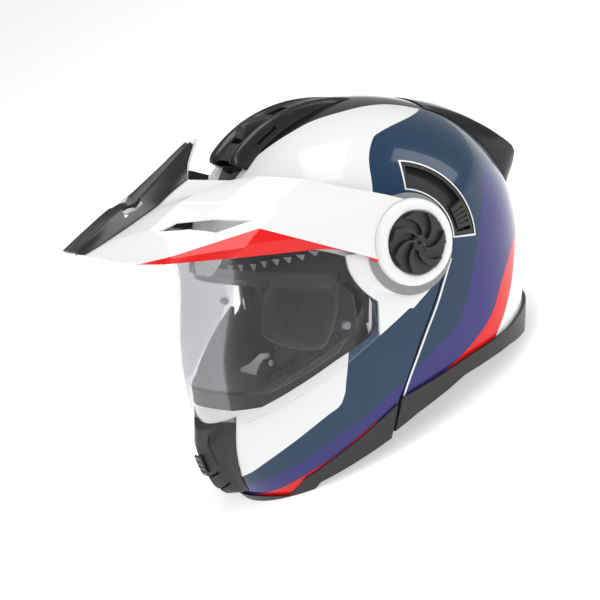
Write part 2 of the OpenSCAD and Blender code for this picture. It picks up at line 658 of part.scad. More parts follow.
button_at = on_rim(236, -chin_wall - chin_foam_t);
button_size = [26, 5, 12];
button_travel = 4;
module button_space() translate([-button_size[0] / 2 - 0.6, button_at[0] - button_travel - 3.5,
    button_at[1] - button_size[2] / 2 - 0.6]) cube(button_size + [1.2, 20, 1.2]);
module release_button() color("#c8201c") worn()
    translate([-button_size[0] / 2, button_at[0] - 2.6, button_at[1] - button_size[2] / 2]) cube(button_size);

// Latch hooks: levers inside the chin bar whose noses lie in front of the strikers
hook_at = [-32, -126];
hook_x = 90;
hook_t = 3;
hook_pin_r = 3;
module latch_hook() {
    plate(hook_x, hook_x + hook_t) difference() {
        polygon([[-38, -128], [-36, -119], [-28, -116], [-18, -108], [-9, -108], [-9, -112],
            [-15, -113], [-19, -118], [-22, -127], [-32, -132]]);
        translate(hook_at) circle(hook_pin_r + turn_gap, $fn = 24);
    }
}
module latch_hook_left() color("#b0b3b6") worn() latch_hook();
module latch_hook_right() color("#b0b3b6") worn() side(-1) latch_hook();
module hook_pins() color("#b0b3b6") worn() both_sides()
    rod(hook_at, hook_pin_r, hook_x - 2, half_w_at(hook_at, -chin_wall) - 2.4);

// The clear visor
visor_top_z = 5;
visor_rear = [[-26, -28], [-22, -71]];
visor_low = [[-49, -97], [-100, -141], [-118, -144], [-300, -146]];
module lens_zone() across(concat([[-300, visor_top_z], [-120, visor_top_z], [-48, -8], [-33, -16]],
    visor_rear, visor_low));
arm_rear = [[-22, -71], [1, -50], [12, -40], [30, -30]];
arm_head_r = hub_r + 18;        // where the arm's head round the pivot ends and the clear part starts
module arm_zone() intersection() {
    union() {
        across(concat([[0, 0]], reversed(arm_rear), reversed(visor_rear)));
        disc(arm_head_r - 0.2, -wide / 2, wide / 2);
    }
    across([[0, 0], [-60, -11], [-60, -60], [-22, -75], [40, -40], [40, -10]]);
}
module visor_lens() color([0.8, 0.8, 0.9, 0.4]) worn() moulded() intersection() {
    difference() {
        visor_skin(0);
        visor_skin(-visor_t);
    }
    difference() {
        lens_zone();
        both_sides() disc(arm_head_r, 60, wide / 2);
    }
}
module visor_arms() intersection() {
    difference() {
        union() {
            visor_skin(0);
            both_sides() cone(hinge_r + seat_gap, hub_x + visor_hub_t);
        }
        union() {
            visor_skin(-visor_t);
            both_sides() cone(hinge_r + seat_gap, hub_x + 0.2);
        }
        both_sides() disc(hub_r + seat_gap, 60, wide / 2);
        both_sides() disc(hub_r + 24, hub_x + visor_hub_t, wide / 2);
    }
    arm_zone();
}
module visor_arm_left() color("#f0f2ee") worn() moulded() one_side(1) visor_arms();
module visor_arm_right() color("#f0f2ee") worn() moulded() one_side(-1) visor_arms();
module visor_hub() difference() {
    disc(hub_r, hub_x, hub_x + visor_hub_t);
    disc(bore_r, hub_x - 1, hub_x + visor_hub_t + 1);
}
module visor_hub_left() color("#f0f2ee") worn() visor_hub();
module visor_hub_right() color("#f0f2ee") worn() side(-1) visor_hub();

insert_zone = [[-300, -18], [-60, -24], [-42, -40], [-38, -60], [-50, -84], [-92, -118],
    [-300, -122]];
module fog_insert() color([0.8, 0.8, 0.9, 0.4]) worn() moulded() intersection() {
    difference() {
        visor_skin(-visor_t - 0.5);
        visor_skin(-visor_t - 1.5);
        both_sides() rod(insert_pin, insert_pin_r + seat_gap, 60, wide / 2);
    }
    across(insert_zone);
}
insert_pin = [-44, -63.5];       // pin in the side view, in a notch of the insert
insert_pin_r = 3;
insert_pin_x = egg_w_at(visor_rim, visor_full, visor_half_w, insert_pin - [insert_pin_r, 0], -visor_t)
    - seat_gap - 0.5;
module insert_pins() color("#d8dadc") worn() both_sides()
    rod(insert_pin, insert_pin_r, insert_pin_x - 5, insert_pin_x);

// The peak: columns of points from the middle to the left pod, each from rear to front
peak_half = [
    [[0, -120, 76], [0, -146, 43], [0, -172, 19], [0, -183, 23], [0, -206, 7], [0, -227, -9]],
    [[3, -121, 77], [7, -147, 53], [11, -175, 28], [11, -187, 23], [12, -205, 8], [11, -226, -9]],
    [[28, -140, 46], [27, -151, 38], [25, -164, 26], [22, -190, 9], [18, -205, -1], [14, -220, -10]],
    [[55, -118, 46], [53, -137, 39], [50, -156, 31], [51, -172, 18], [52, -182, 11], [48, -204, -14]],
    [[76, -104, 50], [77, -118, 42], [78, -134, 30], [79, -148, 15], [78, -166, -1], [75, -181, -14]],
    [[102, -79, 48], [101, -88, 40], [101, -98, 29], [103, -108, 20], [104, -117, 12], [102, -137, -12]],
    [[115, -51, 42], [115, -58, 34], [115, -68, 25], [115, -78, 16], [113, -92, 7], [113, -88, -5]],
    [[128, -30, 38], [128.8, -36, 30], [129, -43, 22], [129, -50, 13], [127.5, -58, 5], [124, -66, -2]],
    [[131.5, -4, 32], [131.5, -10, 25], [131.5, -17, 16], [131.5, -25, 7], [131.5, -32, -2],
        [131, -40, -9]],
    [[132.3, 14, 26], [132.3, 5, 18], [132.3, -3, 8], [132.3, -12, 0], [132.3, -22, -8],
        [131.5, -33, -14]]];
peak_cols = len(peak_half) - 1;
peak_rows = len(peak_half[0]) - 1;
peak = concat([for (i = [peak_cols : -1 : 1]) [for (p = peak_half[i]) [-p[0], p[1], p[2]]]], peak_half);
function unit(v) = v / norm(v);
function peak_normal(i, j) = unit(cross(
    peak[i][min(j + 1, peak_rows)] - peak[i][max(j - 1, 0)],
    peak[min(i + 1, 2 * peak_cols)][j] - peak[max(i - 1, 0)][j]));
function peak_layer(t, i0, i1) = [for (i = [i0 : i1]) [for (j = [0 : peak_rows])
    peak[i][j] + t * peak_normal(i, j)]];
module peak_shell() color("#f0f2ee") worn() moulded() difference() {
    slab(peak_layer(0, 0, 2 * peak_cols), peak_layer(-peak_t, 0, 2 * peak_cols));
    both_sides() disc(pod_r + seat_gap, 100, wide / 2);
}
panel_t = 1.2;
panel_half = 2;                 // columns to each side of the middle that the panel covers
module peak_centre_panel() color("#2c2b2a") worn() moulded() slab(
    peak_layer(seat_gap + panel_t, peak_cols - panel_half, peak_cols + panel_half),
    peak_layer(seat_gap, peak_cols - panel_half, peak_cols + panel_half));

module peak_pod() difference() {
    disc(pod_r, pod_x, pod_x + pod_t);
    disc(bolt_r + turn_gap, pod_x - 1, pod_x + pod_t + 1);
}
module peak_pod_left() color("#f0f2ee") worn() peak_pod();
module peak_pod_right() color("#f0f2ee") worn() side(-1) peak_pod();

// Screw knobs with swept vanes
vanes = 7;
vane_base = 2.5;
knob_boss_r = 6;
function vane(r0, r1, sweep, w) = concat(
    [for (i = [0 : 4]) let (r = r0 + (r1 - r0) * i / 4, a = sweep * i / 4) r * [cos(a), sin(a)]],
    [for (i = [4 : -1 : 0]) let (r = r0 + (r1 - r0) * i / 4, a = sweep * i / 4 + w * (0.5 + i / 8))
        r * [cos(a), sin(a)]]);
module knob() difference() {
    union() {
        disc(knob_r, knob_x, knob_x + vane_base);
        disc(knob_boss_r, knob_x, knob_top_x - 1);
        for (k = [0 : vanes - 1]) rotate([k * 360 / vanes, 0, 0])
            plate(knob_x + vane_base, knob_top_x - 1) polygon(vane(knob_boss_r - 1, knob_r - 0.8, 50, 24));
    }
    disc(bolt_r + 0.1, knob_x - 1, knob_top_x + 1);
}
module knob_left() color("#2c2b2a") worn() knob();
module knob_right() color("#2c2b2a") worn() side(-1) knob();
module knob_bolt() {
    disc(bolt_r, seat_x + 1, knob_top_x - 1);
    plate(knob_top_x - 1, knob_top_x) circle(bolt_r + 1.4, $fn = 6);
}
module knob_bolt_left() color("#3a3a3a") worn() knob_bolt();
module knob_bolt_right() color("#3a3a3a") worn() side(-1) knob_bolt();

outer_shell();
shell_edge_trim();
crown_foam();
side_foam_left();
side_foam_right();
crown_lining();
cheek_pad_left();
cheek_pad_right();
neck_roll();
brow_seal();
top_vent_housing();
top_vent_slider();
rear_spoiler();
rear_vent_grille();
pivot_base_left();
pivot_base_right();
sun_slider_track();
sun_slider();
sun_visor();
sun_visor_pins();
latch_strikers();
strap_left();
strap_right();
strap_anchors();
buckle_body();
buckle_lever();
buckle_lever_pin();
strap_ladder();
chin_bar_shell();
chin_bar_trim();
chin_foam();
chin_vent_housing();
chin_vent_shutter();
breath_guard();
chin_curtain();
visor_seal();
chin_hinge_left();
chin_hinge_right();
release_button();
latch_hook_left();
latch_hook_right();
hook_pins();
visor_lens();
visor_arm_left();
visor_arm_right();
visor_hub_left();
visor_hub_right();
insert_pins();
fog_insert();
peak_shell();
peak_centre_panel();
peak_pod_left();
peak_pod_right();
knob_left();
knob_right();
knob_bolt_left();
knob_bolt_right();
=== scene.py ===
# %% [markdown]
# # Dressing a flip-up touring helmet
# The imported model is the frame: every joint, pivot and wall already has its place there.
# This lesson gives each visible piece its smooth form and its finish, one cell at a time.

import math
from functools import lru_cache

import bmesh
import bpy
from mathutils import Matrix, Vector


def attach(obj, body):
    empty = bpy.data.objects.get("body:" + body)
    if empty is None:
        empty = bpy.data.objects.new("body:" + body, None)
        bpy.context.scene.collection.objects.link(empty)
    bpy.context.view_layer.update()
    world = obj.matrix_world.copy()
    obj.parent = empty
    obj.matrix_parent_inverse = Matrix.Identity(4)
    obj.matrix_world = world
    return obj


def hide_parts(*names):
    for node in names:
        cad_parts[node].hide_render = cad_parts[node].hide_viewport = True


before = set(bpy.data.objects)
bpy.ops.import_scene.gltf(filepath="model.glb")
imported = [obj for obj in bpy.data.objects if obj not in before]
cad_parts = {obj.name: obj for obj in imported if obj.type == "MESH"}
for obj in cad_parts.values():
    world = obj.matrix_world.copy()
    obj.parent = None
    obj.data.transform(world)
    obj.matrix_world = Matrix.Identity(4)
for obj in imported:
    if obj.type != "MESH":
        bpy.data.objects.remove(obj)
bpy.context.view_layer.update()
SIDES = ((1, "left"), (-1, "right"))

# %% [markdown]
# A helmet is drawn most easily as it is worn, level, with its side pivots on the x axis, in
# millimetres. On the table it leans back on its chin and nape. One matrix turns the worn
# drawing into the frame, and it is applied to each finished mesh, so that objects stay at the origin.

# %% From worn millimetres to the frame
LEAN = math.radians(31)
PIVOT = Vector((0, 0.0163, 0.144))
WORN = Matrix.Translation(PIVOT) @ Matrix.Rotation(-LEAN, 4, "X") @ Matrix.Scale(0.001, 4)
MIDDLE = (26.0, -6.0)               # centre of the skin in the side view
print("side pivots at", tuple(round(c, 4) for c in WORN @ Vector((0, 0, 0))))

# %% [markdown]
# The camera stands 1.8 m away and a little above the pivots, off the rider's left front.
# Its axes are built in the worn frame, because the photograph shows how far the helmet leans.

# %% Camera
AROUND, ABOVE = math.radians(62), math.radians(5.7)
PIXELS_PER_MM, DISTANCE, FRAME, SENSOR = 1.24, 1800.0, 600, 36
PIVOT_PIXEL = (330.4, 231.6)        # where the photograph shows the point between the pivots
right = Vector((math.cos(AROUND), math.sin(AROUND), 0))
back = Vector((math.sin(AROUND) * math.cos(ABOVE), -math.cos(AROUND) * math.cos(ABOVE), math.sin(ABOVE)))
up = back.cross(right)
look = (right * ((FRAME / 2 - PIVOT_PIXEL[0]) / PIXELS_PER_MM)
        - up * ((FRAME / 2 - PIVOT_PIXEL[1]) / PIXELS_PER_MM))
turned = WORN.to_3x3().normalized() @ Matrix((right, up, back)).transposed()
camera = bpy.data.objects.new("camera", bpy.data.cameras.new("camera"))
bpy.context.scene.collection.objects.link(camera)
camera.matrix_world = Matrix.Translation(WORN @ (look + back * DISTANCE)) @ turned.to_4x4()
camera.data.sensor_width = SENSOR
camera.data.lens = DISTANCE * PIXELS_PER_MM / FRAME * SENSOR
camera.data.clip_end = 50
bpy.context.scene.camera = camera
print("lens", round(camera.data.lens, 1), "mm")

# %% [markdown]
# A helmet is photographed in a white tent: light comes from all round, with one long soft box
# over the left shoulder that draws the bright streak on the paint, and a darker floor side.

# %% Floor and light
def area_light(name, place, aim, size, power):
    lamp = bpy.data.lights.new(name, "AREA")
    lamp.shape, lamp.size, lamp.size_y, lamp.energy = "RECTANGLE", size[0], size[1], power
    holder = bpy.data.objects.new(name, lamp)
    bpy.context.scene.collection.objects.link(holder)
    holder.matrix_world = Matrix.Translation(place) @ (
        Vector(aim) - Vector(place)).to_track_quat("-Z", "Y").to_matrix().to_4x4()


area_light("key_box", (1.7, -0.9, 1.5), (0, 0, 0.13), (0.6, 1.5), 15)
area_light("top_box", (0.2, 0.3, 1.9), (0, 0, 0.13), (1.3, 0.8), 14)
area_light("front_box", (-0.9, -1.7, 0.9), (0, 0, 0.13), (0.7, 1.3), 8)
area_light("back_box", (0.9, 1.7, 1.0), (0, 0, 0.15), (0.5, 1.4), 8)
bpy.context.scene.view_settings.view_transform = "Standard"

world = bpy.data.worlds.new("studio")
bpy.context.scene.world = world
world.use_nodes = True
world.node_tree.nodes["Background"].inputs["Color"].default_value = (0.97, 0.98, 1, 1)
world.node_tree.nodes["Background"].inputs["Strength"].default_value = 0.38

floor_mesh = bmesh.new()
bmesh.ops.create_circle(floor_mesh, cap_ends=True, segments=96, radius=6)
floor = bpy.data.objects.new("studio_floor", bpy.data.meshes.new("studio_floor"))
floor_mesh.to_mesh(floor.data)
bpy.context.scene.collection.objects.link(floor)
floor_paper = bpy.data.materials.new("white paper")
floor_paper.use_nodes = True
paper = floor_paper.node_tree.nodes["Principled BSDF"]
paper.inputs["Base Color"].default_value = (0.9, 0.9, 0.9, 1)
paper.inputs["Roughness"].default_value = 0.9
paper.inputs["Emission Color"].default_value = (1, 1, 1, 1)
paper.inputs["Emission Strength"].default_value = 0.5
floor.data.materials.append(floor_paper)
print("lights:", [round(lamp.energy) for lamp in bpy.data.lights], "W")

# %% [markdown]
# ## A small workshop for materials
# Node trees read badly as lists of links. A small class wraps a socket, so that a sum or a
# comparison written in Python adds its Math node, and one method makes every other node.

# %% Sockets that can be added and compared
BORDER_SPAN = 500                   # a border's curve holds values from -250 to 250 mm


class Value:
    def __init__(self, finish, socket):
        self.finish, self.socket = finish, socket

    def math(self, operation, *others):
        return self.finish.node("ShaderNodeMath", {"operation": operation},
                                dict(enumerate((self,) + others)))[0]

    def __add__(self, other): return self.math("ADD", other)
    def __radd__(self, other): return self.math("ADD", other)
    def __sub__(self, other): return self.math("SUBTRACT", other)
    def __rsub__(self, other): return self.math("MULTIPLY", -1).math("ADD", other)
    def __mul__(self, other): return self.math("MULTIPLY", other)
    def __rmul__(self, other): return self.math("MULTIPLY", other)
    def __truediv__(self, other): return self.math("DIVIDE", other)
    def __gt__(self, other): return self.math("GREATER_THAN", other)
    def __lt__(self, other): return self.math("LESS_THAN", other)
    def __abs__(self): return self.math("ABSOLUTE")


class Made:
    def __init__(self, finish, node):
        self.finish, self.node = finish, node

    def __getitem__(self, key):
        return Value(self.finish, self.node.outputs[key])


class Finish:
    """One material. The keywords set the shader's own sockets, with blanks as underscores."""

    def __init__(self, name, color, **sockets):
        self.material = bpy.data.materials.new(name)
        self.material.use_nodes = True
        self.tree = self.material.node_tree
        self.shader = self.tree.nodes["Principled BSDF"]
        self.set("Base Color", color + (1,))
        for key, value in sockets.items():
            self.set(key.replace("_", " "), value)

    def set(self, key, value, node=None):
        socket = (node or self.shader).inputs[key]
        if isinstance(value, Value):
            self.tree.links.new(value.socket, socket)
        else:
            socket.default_value = value

    def node(self, kind, settings=(), sockets=()):
        made = self.tree.nodes.new(kind)
        for key, value in dict(settings).items():
            setattr(made, key, value)
        for key, value in dict(sockets).items():
            self.set(key, value, made)
        return Made(self, made)

    def place(self):
        """Object coordinates, in metres."""
        return self.node("ShaderNodeTexCoord")["Object"]

    def worn(self):
        """The point as the helmet is worn, in millimetres: x is the distance from the middle."""
        apart = self.node("ShaderNodeSeparateXYZ", sockets={0: self.place()})
        y, z = apart[1] - PIVOT.y, apart[2] - PIVOT.z
        c, s = 1000 * math.cos(LEAN), 1000 * math.sin(LEAN)
        return abs(apart[0]) * 1000, y * c - z * s, y * s + z * c

    def border(self, along, points):
        """Smooth line through points (along, across), as the value across it."""
        first, last = points[0][0], points[-1][0]
        line = self.tree.nodes.new("ShaderNodeFloatCurve")
        curve = line.mapping.curves[0]
        spots = [((a - first) / (last - first), (b + BORDER_SPAN / 2) / BORDER_SPAN) for a, b in points]
        for i, spot in enumerate(spots):
            if 0 < i < len(spots) - 1:
                curve.points.new(*spot)
        curve.points[0].location, curve.points[-1].location = spots[0], spots[-1]
        line.mapping.update()
        self.set("Value", ((along - first) / (last - first)).math("MAXIMUM", 0).math("MINIMUM", 1), line)
        return Made(self, line)[0] * BORDER_SPAN - BORDER_SPAN / 2

    def mix(self, mask, under, over):
        """Colour over under where the mask is 1."""
        blend = self.node("ShaderNodeMix", {"data_type": "RGBA"}, {0: mask})
        for slot, value in ((6, under), (7, over)):
            self.set(slot, value if isinstance(value, Value) else value + (1,), blend.node)
        return blend[2]

    def noise(self, scale, detail=3, rough=0.5):
        return self.node("ShaderNodeTexNoise", sockets={
            "Vector": self.place(), "Scale": scale, "Detail": detail, "Roughness": rough})[0]

    def bump(self, height, strength, depth):
        self.set("Normal", self.node("ShaderNodeBump", sockets={
            "Height": height, "Strength": strength, "Distance": depth})[0])
        return self


print("the lean for the masks:", round(math.degrees(LEAN)), "degrees")

# %% [markdown]
# Gloss paint under clear coat: a saturated base, the faint ripple that real coats have, and
# the coat itself. The graphic is masked in worn coordinates, as a painter tapes it: each edge
# is a smooth line across the side view, and a colour fills what lies behind it.

# %% Paint
NAVY, LIGHT_NAVY, VIOLET = (0.012, 0.036, 0.078), (0.019, 0.052, 0.100), (0.036, 0.034, 0.175)
RED, WHITE, GLOSS_BLACK = (0.78, 0.012, 0.010), (0.83, 0.845, 0.825), (0.006, 0.006, 0.007)
BROW_BLACK, SATIN = (0.022, 0.022, 0.023), 0.24
DEGREES = 57.3                      # in a radian


def paint(name, color=WHITE):
    coat = Finish(name, color, Roughness=SATIN, Coat_Weight=1.0, Coat_Roughness=0.03, Coat_IOR=1.3,
                  Specular_IOR_Level=0.15)
    return coat.bump(coat.noise(420, 1), 0.06, 0.0004)


shell_paint = paint("shell paint")
across, deep, high = shell_paint.worn()
tone = shell_paint.mix(shell_paint.noise(9, 1), NAVY, LIGHT_NAVY)
violet_edge = shell_paint.border(high, [(-110, 0), (-81, 30), (-67, 44), (-48, 52), (-32, 56), (-10, 61),
                                        (19, 69), (50, 82), (60, 100), (90, 112)])
red_edge = shell_paint.border(high, [(-110, 28), (-105, 34), (-83, 60), (-62, 78), (-34, 91), (-13, 105),
                                     (1, 118), (20, 135)])
pale_edge = shell_paint.border(high, [(-110, 78), (-79, 86), (-63, 94), (-35, 106), (-15, 113), (1, 121),
                                      (20, 136)])
front_edge = shell_paint.border(high, [(-40, -24), (38, -24), (77, -10), (81, -4), (99, 50), (104, 64)])
crown_edge = shell_paint.border(deep, [(-110, 9), (-92, 15), (-76, 26), (-57, 34), (-38, 38), (-15, 45),
                                       (5, 47), (25, 49), (49, 55), (120, 57)])
seam_line = shell_paint.border(high, [(-152, -1), (-124, 0), (-77, 12), (-46, 23), (-30, 28), (-12, 34)])
tone = shell_paint.mix(deep > violet_edge, tone, VIOLET)
tone = shell_paint.mix(deep > red_edge, tone, RED)
tone = shell_paint.mix(deep > pale_edge, tone, WHITE)
tone = shell_paint.mix(deep < front_edge, tone, WHITE)
tone = shell_paint.mix((abs(deep - seam_line - 3.4) < 0.8) * (high < -14), tone, WHITE)
tone = shell_paint.mix((across < crown_edge) * (high > 20), tone, GLOSS_BLACK)
brow_top = shell_paint.border(deep, [(-130, 3), (-105, -1), (-60, -7), (-34, -15), (-20, -20)])
tab_edge = shell_paint.border(high, [(-60, 9), (-34, 9), (-30, 14), (-24, 21), (-16, 26), (0, 27), (20, 27)])
band = (high < brow_top) * (deep < -26) * (across > tab_edge)
tone = shell_paint.mix(band, tone, BROW_BLACK)
from_pivot = (deep * deep + high * high).math("SQRT")
bearing = high.math("ARCTAN2", deep) * DEGREES
left = shell_paint.node("ShaderNodeSeparateXYZ", sockets={0: shell_paint.place()})[0] > 0
ring = (from_pivot > 38.9) * (from_pivot < 61.1) * (bearing > 2.5) * (bearing < 88.5) * left
tone = shell_paint.mix(ring, tone, WHITE)
shell_paint.set("Base Color", tone)
shell_paint.set("Coat Weight", 1 - band)
shell_paint.set("Roughness", band * 0.2 + SATIN)

chin_paint = paint("chin paint")
across, deep, high = chin_paint.worn()
tone = chin_paint.mix(chin_paint.noise(9, 1), NAVY, LIGHT_NAVY)
navy_edge = chin_paint.border(high, [(-210, -98), (-184, -87.4), (-173, -82), (-151, -66), (-133, -50.5),
                                     (-127, -44.5), (-119, -42), (-106, -41.7), (-20, -41)])
violet_edge = chin_paint.border(high, [(-210, -98), (-183, -72), (-154, -44), (-113, -2), (-100, 11),
                                       (-80, 40)])
red_edge = chin_paint.border(high, [(-210, -80), (-201, -71), (-182, -54), (-169, -41), (-130, -1),
                                    (-110, 40)])
tone = chin_paint.mix(deep > violet_edge, tone, VIOLET)
tone = chin_paint.mix(deep > red_edge, tone, RED)
tone = chin_paint.mix(deep < navy_edge, tone, WHITE)
chin_paint.set("Base Color", tone)

white_paint = paint("white paint")
peak_paint = paint("peak paint")
across, deep, high = peak_paint.worn()
flange_top = ((deep + 117) * 0.347 + 12.5).math("MINIMUM", (deep + 117) * -0.284 + 12.5)
peak_paint.set("Base Color", peak_paint.mix(high < flange_top, WHITE, RED))
gloss_black = paint("gloss black", GLOSS_BLACK)
print("paints:", [m.name for m in bpy.data.materials if m.name.endswith(("paint", "black"))])

# %% [markdown]
# Moulded plastic has a fine spark-eroded grain that breaks up its highlight, rubber is
# smoother but duller, and steel shows drawn lines. Each grain is a bump of its real size,
# well under a millimetre.

# %% Plastic, rubber and metal
def moulded(name, color, rough, grain=2600, depth=0.00025):
    skin = Finish(name, color, Roughness=rough)
    worn_in = skin.noise(60, 3)
    skin.set("Roughness", worn_in * 0.16 + (rough - 0.08))
    skin.set("Base Color", skin.mix(worn_in, color, tuple(c * 1.5 + 0.002 for c in color)))
    return skin.bump(skin.noise(grain, 2), 0.35, depth)


black_plastic = moulded("matte black plastic", (0.014, 0.014, 0.0145), 0.42)
satin_black = moulded("satin black plastic", (0.008, 0.008, 0.0085), 0.27, 1800, 0.0001)
grey_plastic = moulded("satin grey plastic", (0.20, 0.205, 0.21), 0.38)
rubber = moulded("soft rubber", (0.012, 0.012, 0.012), 0.62, 1500)
signal_red = moulded("red plastic", (0.52, 0.02, 0.012), 0.33)


def drawn_steel(name, color):
    steel = Finish(name, color, Metallic=1.0, Roughness=0.3)
    lines = steel.node("ShaderNodeTexNoise", sockets={"Scale": 900, "Detail": 2, "Vector": steel.node(
        "ShaderNodeMapping", sockets={"Vector": steel.place(), "Scale": (0.05, 1, 1)})[0]})[0]
    steel.set("Roughness", lines * 0.22 + 0.2)
    return steel.bump(lines, 0.12, 0.0001)


zinc_steel = drawn_steel("zinc plated steel", (0.56, 0.57, 0.58))
print("grained finishes:", black_plastic.material.name, "to", zinc_steel.material.name)

# %% [markdown]
# Bead foam is a pack of little spheres pressed together, so a Voronoi pattern of 3 mm cells gives its
# dimples, and its colour darkens towards each cell's edge as painted shade in the crevices between the
# beads. The comfort lining is a brushed knit: soft, matte, with a fine loop pattern.

# %% Foam, lining and webbing
bead_foam = Finish("bead foam", (0.035, 0.035, 0.038), Roughness=0.85)
beads = bead_foam.node("ShaderNodeTexVoronoi", {"feature": "SMOOTH_F1"},
                       {"Vector": bead_foam.place(), "Scale": 330})[0]
# Painted shade: lighter on each bead's top, darker in the crevices between beads.
bead_foam.set("Base Color", bead_foam.mix(beads, (0.05, 0.05, 0.053), (0.018, 0.018, 0.02)))
bead_foam.bump(1 - beads, 0.6, 0.0006)


def knit(name, color, loops):
    cloth = Finish(name, color, Roughness=0.95, Sheen_Weight=0.35, Sheen_Roughness=0.5)
    rows = cloth.node("ShaderNodeTexWave", {"bands_direction": "Z"}, {
        "Vector": cloth.place(), "Scale": loops, "Distortion": 1.5, "Detail": 1})[1]
    columns = cloth.node("ShaderNodeTexWave", {"bands_direction": "Y"}, {
        "Vector": cloth.place(), "Scale": loops * 0.8, "Distortion": 1.5, "Detail": 1})[1]
    fuzz = cloth.noise(700, 4, 0.7)
    cloth.set("Base Color", cloth.mix(fuzz, tuple(c * 0.6 for c in color), tuple(c * 1.7 for c in color)))
    return cloth.bump(rows * columns + fuzz * 0.8, 0.5, 0.0005)


lining = knit("brushed lining", (0.026, 0.026, 0.028), 700)
curtain_cloth = knit("stretch cloth", (0.018, 0.018, 0.02), 420)
webbing = Finish("strap webbing", (0.014, 0.014, 0.015), Roughness=0.8)
ribs = webbing.node("ShaderNodeTexWave", {"bands_direction": "Y"}, {
    "Vector": webbing.place(), "Scale": 150})[1]
picks = webbing.node("ShaderNodeTexWave", {"bands_direction": "X"}, {
    "Vector": webbing.place(), "Scale": 240})[1]
# Painted shade of the weave: lighter where the ribs and picks cross, darker in the grooves between them.
webbing.set("Base Color", webbing.mix(ribs * picks, (0.008, 0.008, 0.009), (0.03, 0.03, 0.032)))
webbing.bump(ribs + picks * 0.6, 0.6, 0.0004)
print("soft finishes:", bead_foam.material.name, "to", webbing.material.name)

# %% [markdown]
# The visor is 2 mm of clear polycarbonate. Real refraction through it would cost light that
# the studio puts back, so each lens mixes a see-through shader with a pale, slightly hazy one:
# little of the second head-on, more at a glancing angle, as Fresnel's law has it.

# %% Lenses
def lens(name, tint, body, least):
    clear = Finish(name, body, Roughness=0.3, Specular_IOR_Level=0.2)
    through = clear.node("ShaderNodeBsdfTransparent", sockets={"Color": tint + (1,)})[0]
    glance = clear.node("ShaderNodeFresnel", sockets={"IOR": 1.45})[0]
    dust = clear.noise(35, 4, 0.6)      # the haze is a little uneven, as on a wiped visor
    share = (glance * 0.26 + dust * 0.01 + least).math("MINIMUM", 1)
    mixed = clear.node("ShaderNodeMixShader", sockets={0: share, 1: through})
    clear.tree.links.new(clear.shader.outputs[0], mixed.node.inputs[2])
    clear.tree.links.new(mixed.node.outputs[0], clear.tree.nodes["Material Output"].inputs["Surface"])
    return clear


clear_lens = lens("clear visor", (0.985, 0.985, 0.989), (0.80, 0.80, 0.82), 0.008)
insert_lens = lens("fog insert", (0.99, 0.99, 0.992), (0.80, 0.80, 0.82), 0.004)
smoke_lens = lens("smoked sun visor", (0.30, 0.30, 0.32), (0.05, 0.05, 0.055), 0.12)
print("finishes:", len(bpy.data.materials))

# %% [markdown]
# ## The skin, an egg through fourteen reaches
# The shell's skin is one egg. Its side view is a smooth closed line through reaches measured
# from the middle, and each cross-section runs from one side to the other as a fuller or
# slimmer ellipse. A ball of latitude and longitude is pulled onto it, point by point.

# %% The egg's outline
REACH = {0: 125.5, 30: 123.5, 60: 119.5, 90: 115.5, 120: 118, 150: 128, 172: 134, 195: 147, 218: 184,
         240: 223, 262: 230, 285: 208, 310: 178, 335: 142}
VISOR_LIFT = (0, 0, 2, 4, 8, 17, 23, 6.5, 4.2, 3.8, 3.8, 0, 0, 0)
SKIN = (tuple(REACH.items()),
        ((0, 2.2), (90, 2.2), (170, 2.15), (215, 1.78), (240, 1.92), (262, 2.15), (290, 2.3), (330, 2.3)),
        125.5)
VISOR = (tuple((a, r + lift) for (a, r), lift in zip(REACH.items(), VISOR_LIFT)),
         ((0, 2.3), (172, 2.3), (195, 2.15), (218, 1.95), (260, 2)), 128.4)


def through(knots, a, around=None):
    """Smooth curve through (place, value) knots, closed if the turn it repeats after is given."""
    if around:
        a %= around
        knots = ([(k - around, v) for k, v in knots[-2:]] + list(knots)
                 + [(k + around, v) for k, v in knots[:2]])
    else:
        first, last = knots[0], knots[-1]
        a = min(max(a, first[0]), last[0])
        knots = [(first[0] - 1, first[1])] + list(knots) + [(last[0] + 1, last[1])]
    i = 1
    while i < len(knots) - 3 and knots[i + 1][0] <= a:
        i += 1
    (p0, p1, p2, p3) = knots[i - 1:i + 3]
    h, t = p2[0] - p1[0], (a - p1[0]) / (p2[0] - p1[0])
    m, n = (p2[1] - p0[1]) / (p2[0] - p0[0]), (p3[1] - p1[1]) / (p3[0] - p1[0])
    return ((2 * t**3 - 3 * t**2 + 1) * p1[1] + (t**3 - 2 * t**2 + t) * h * m
            + (3 * t**2 - 2 * t**3) * p2[1] + (t**3 - t**2) * h * n)


@lru_cache(None)
def section(form, a):
    """Reach and fullness of an egg at angle a of the side view."""
    return through(form[0], a, 360), through(form[1], a, 360)


def on_skin(a, x, lift=0.0):
    """Point at angle a of the side view and x from the middle, lifted off the skin."""
    reach, full = section(SKIN, round(a, 3) % 360)
    share = min(1.0, abs(x) / (SKIN[2] + lift))
    r = (reach + lift) * (1 - share**full) ** (1 / full)
    t = math.radians(a)
    return Vector((x, MIDDLE[0] + r * math.cos(t), MIDDLE[1] + r * math.sin(t)))


def half_width(y, z, lift):
    """How far from the middle the lifted skin is at a point of the side view."""
    dy, dz = y - MIDDLE[0], z - MIDDLE[1]
    reach, full = section(SKIN, round(math.degrees(math.atan2(dz, dy)), 3) % 360)
    return (SKIN[2] + lift) * max(0.0, 1 - (math.hypot(dy, dz) / (reach + lift)) ** full) ** (1 / full)


print("skin at the brow reaches", round(on_skin(172, 0).y, 1), "mm")

# %% [markdown]
# Cutting is done with closed tool solids: an egg, a prism across the helmet whose side view is
# a line of points, and a disc round the pivot axis. The edges of the shell, chin bar, trim and
# visor then follow the same lines as on the frame.

# %% Tool solids
FAR, OUT = 300, 200                 # past the helmet: in the side view, and sideways


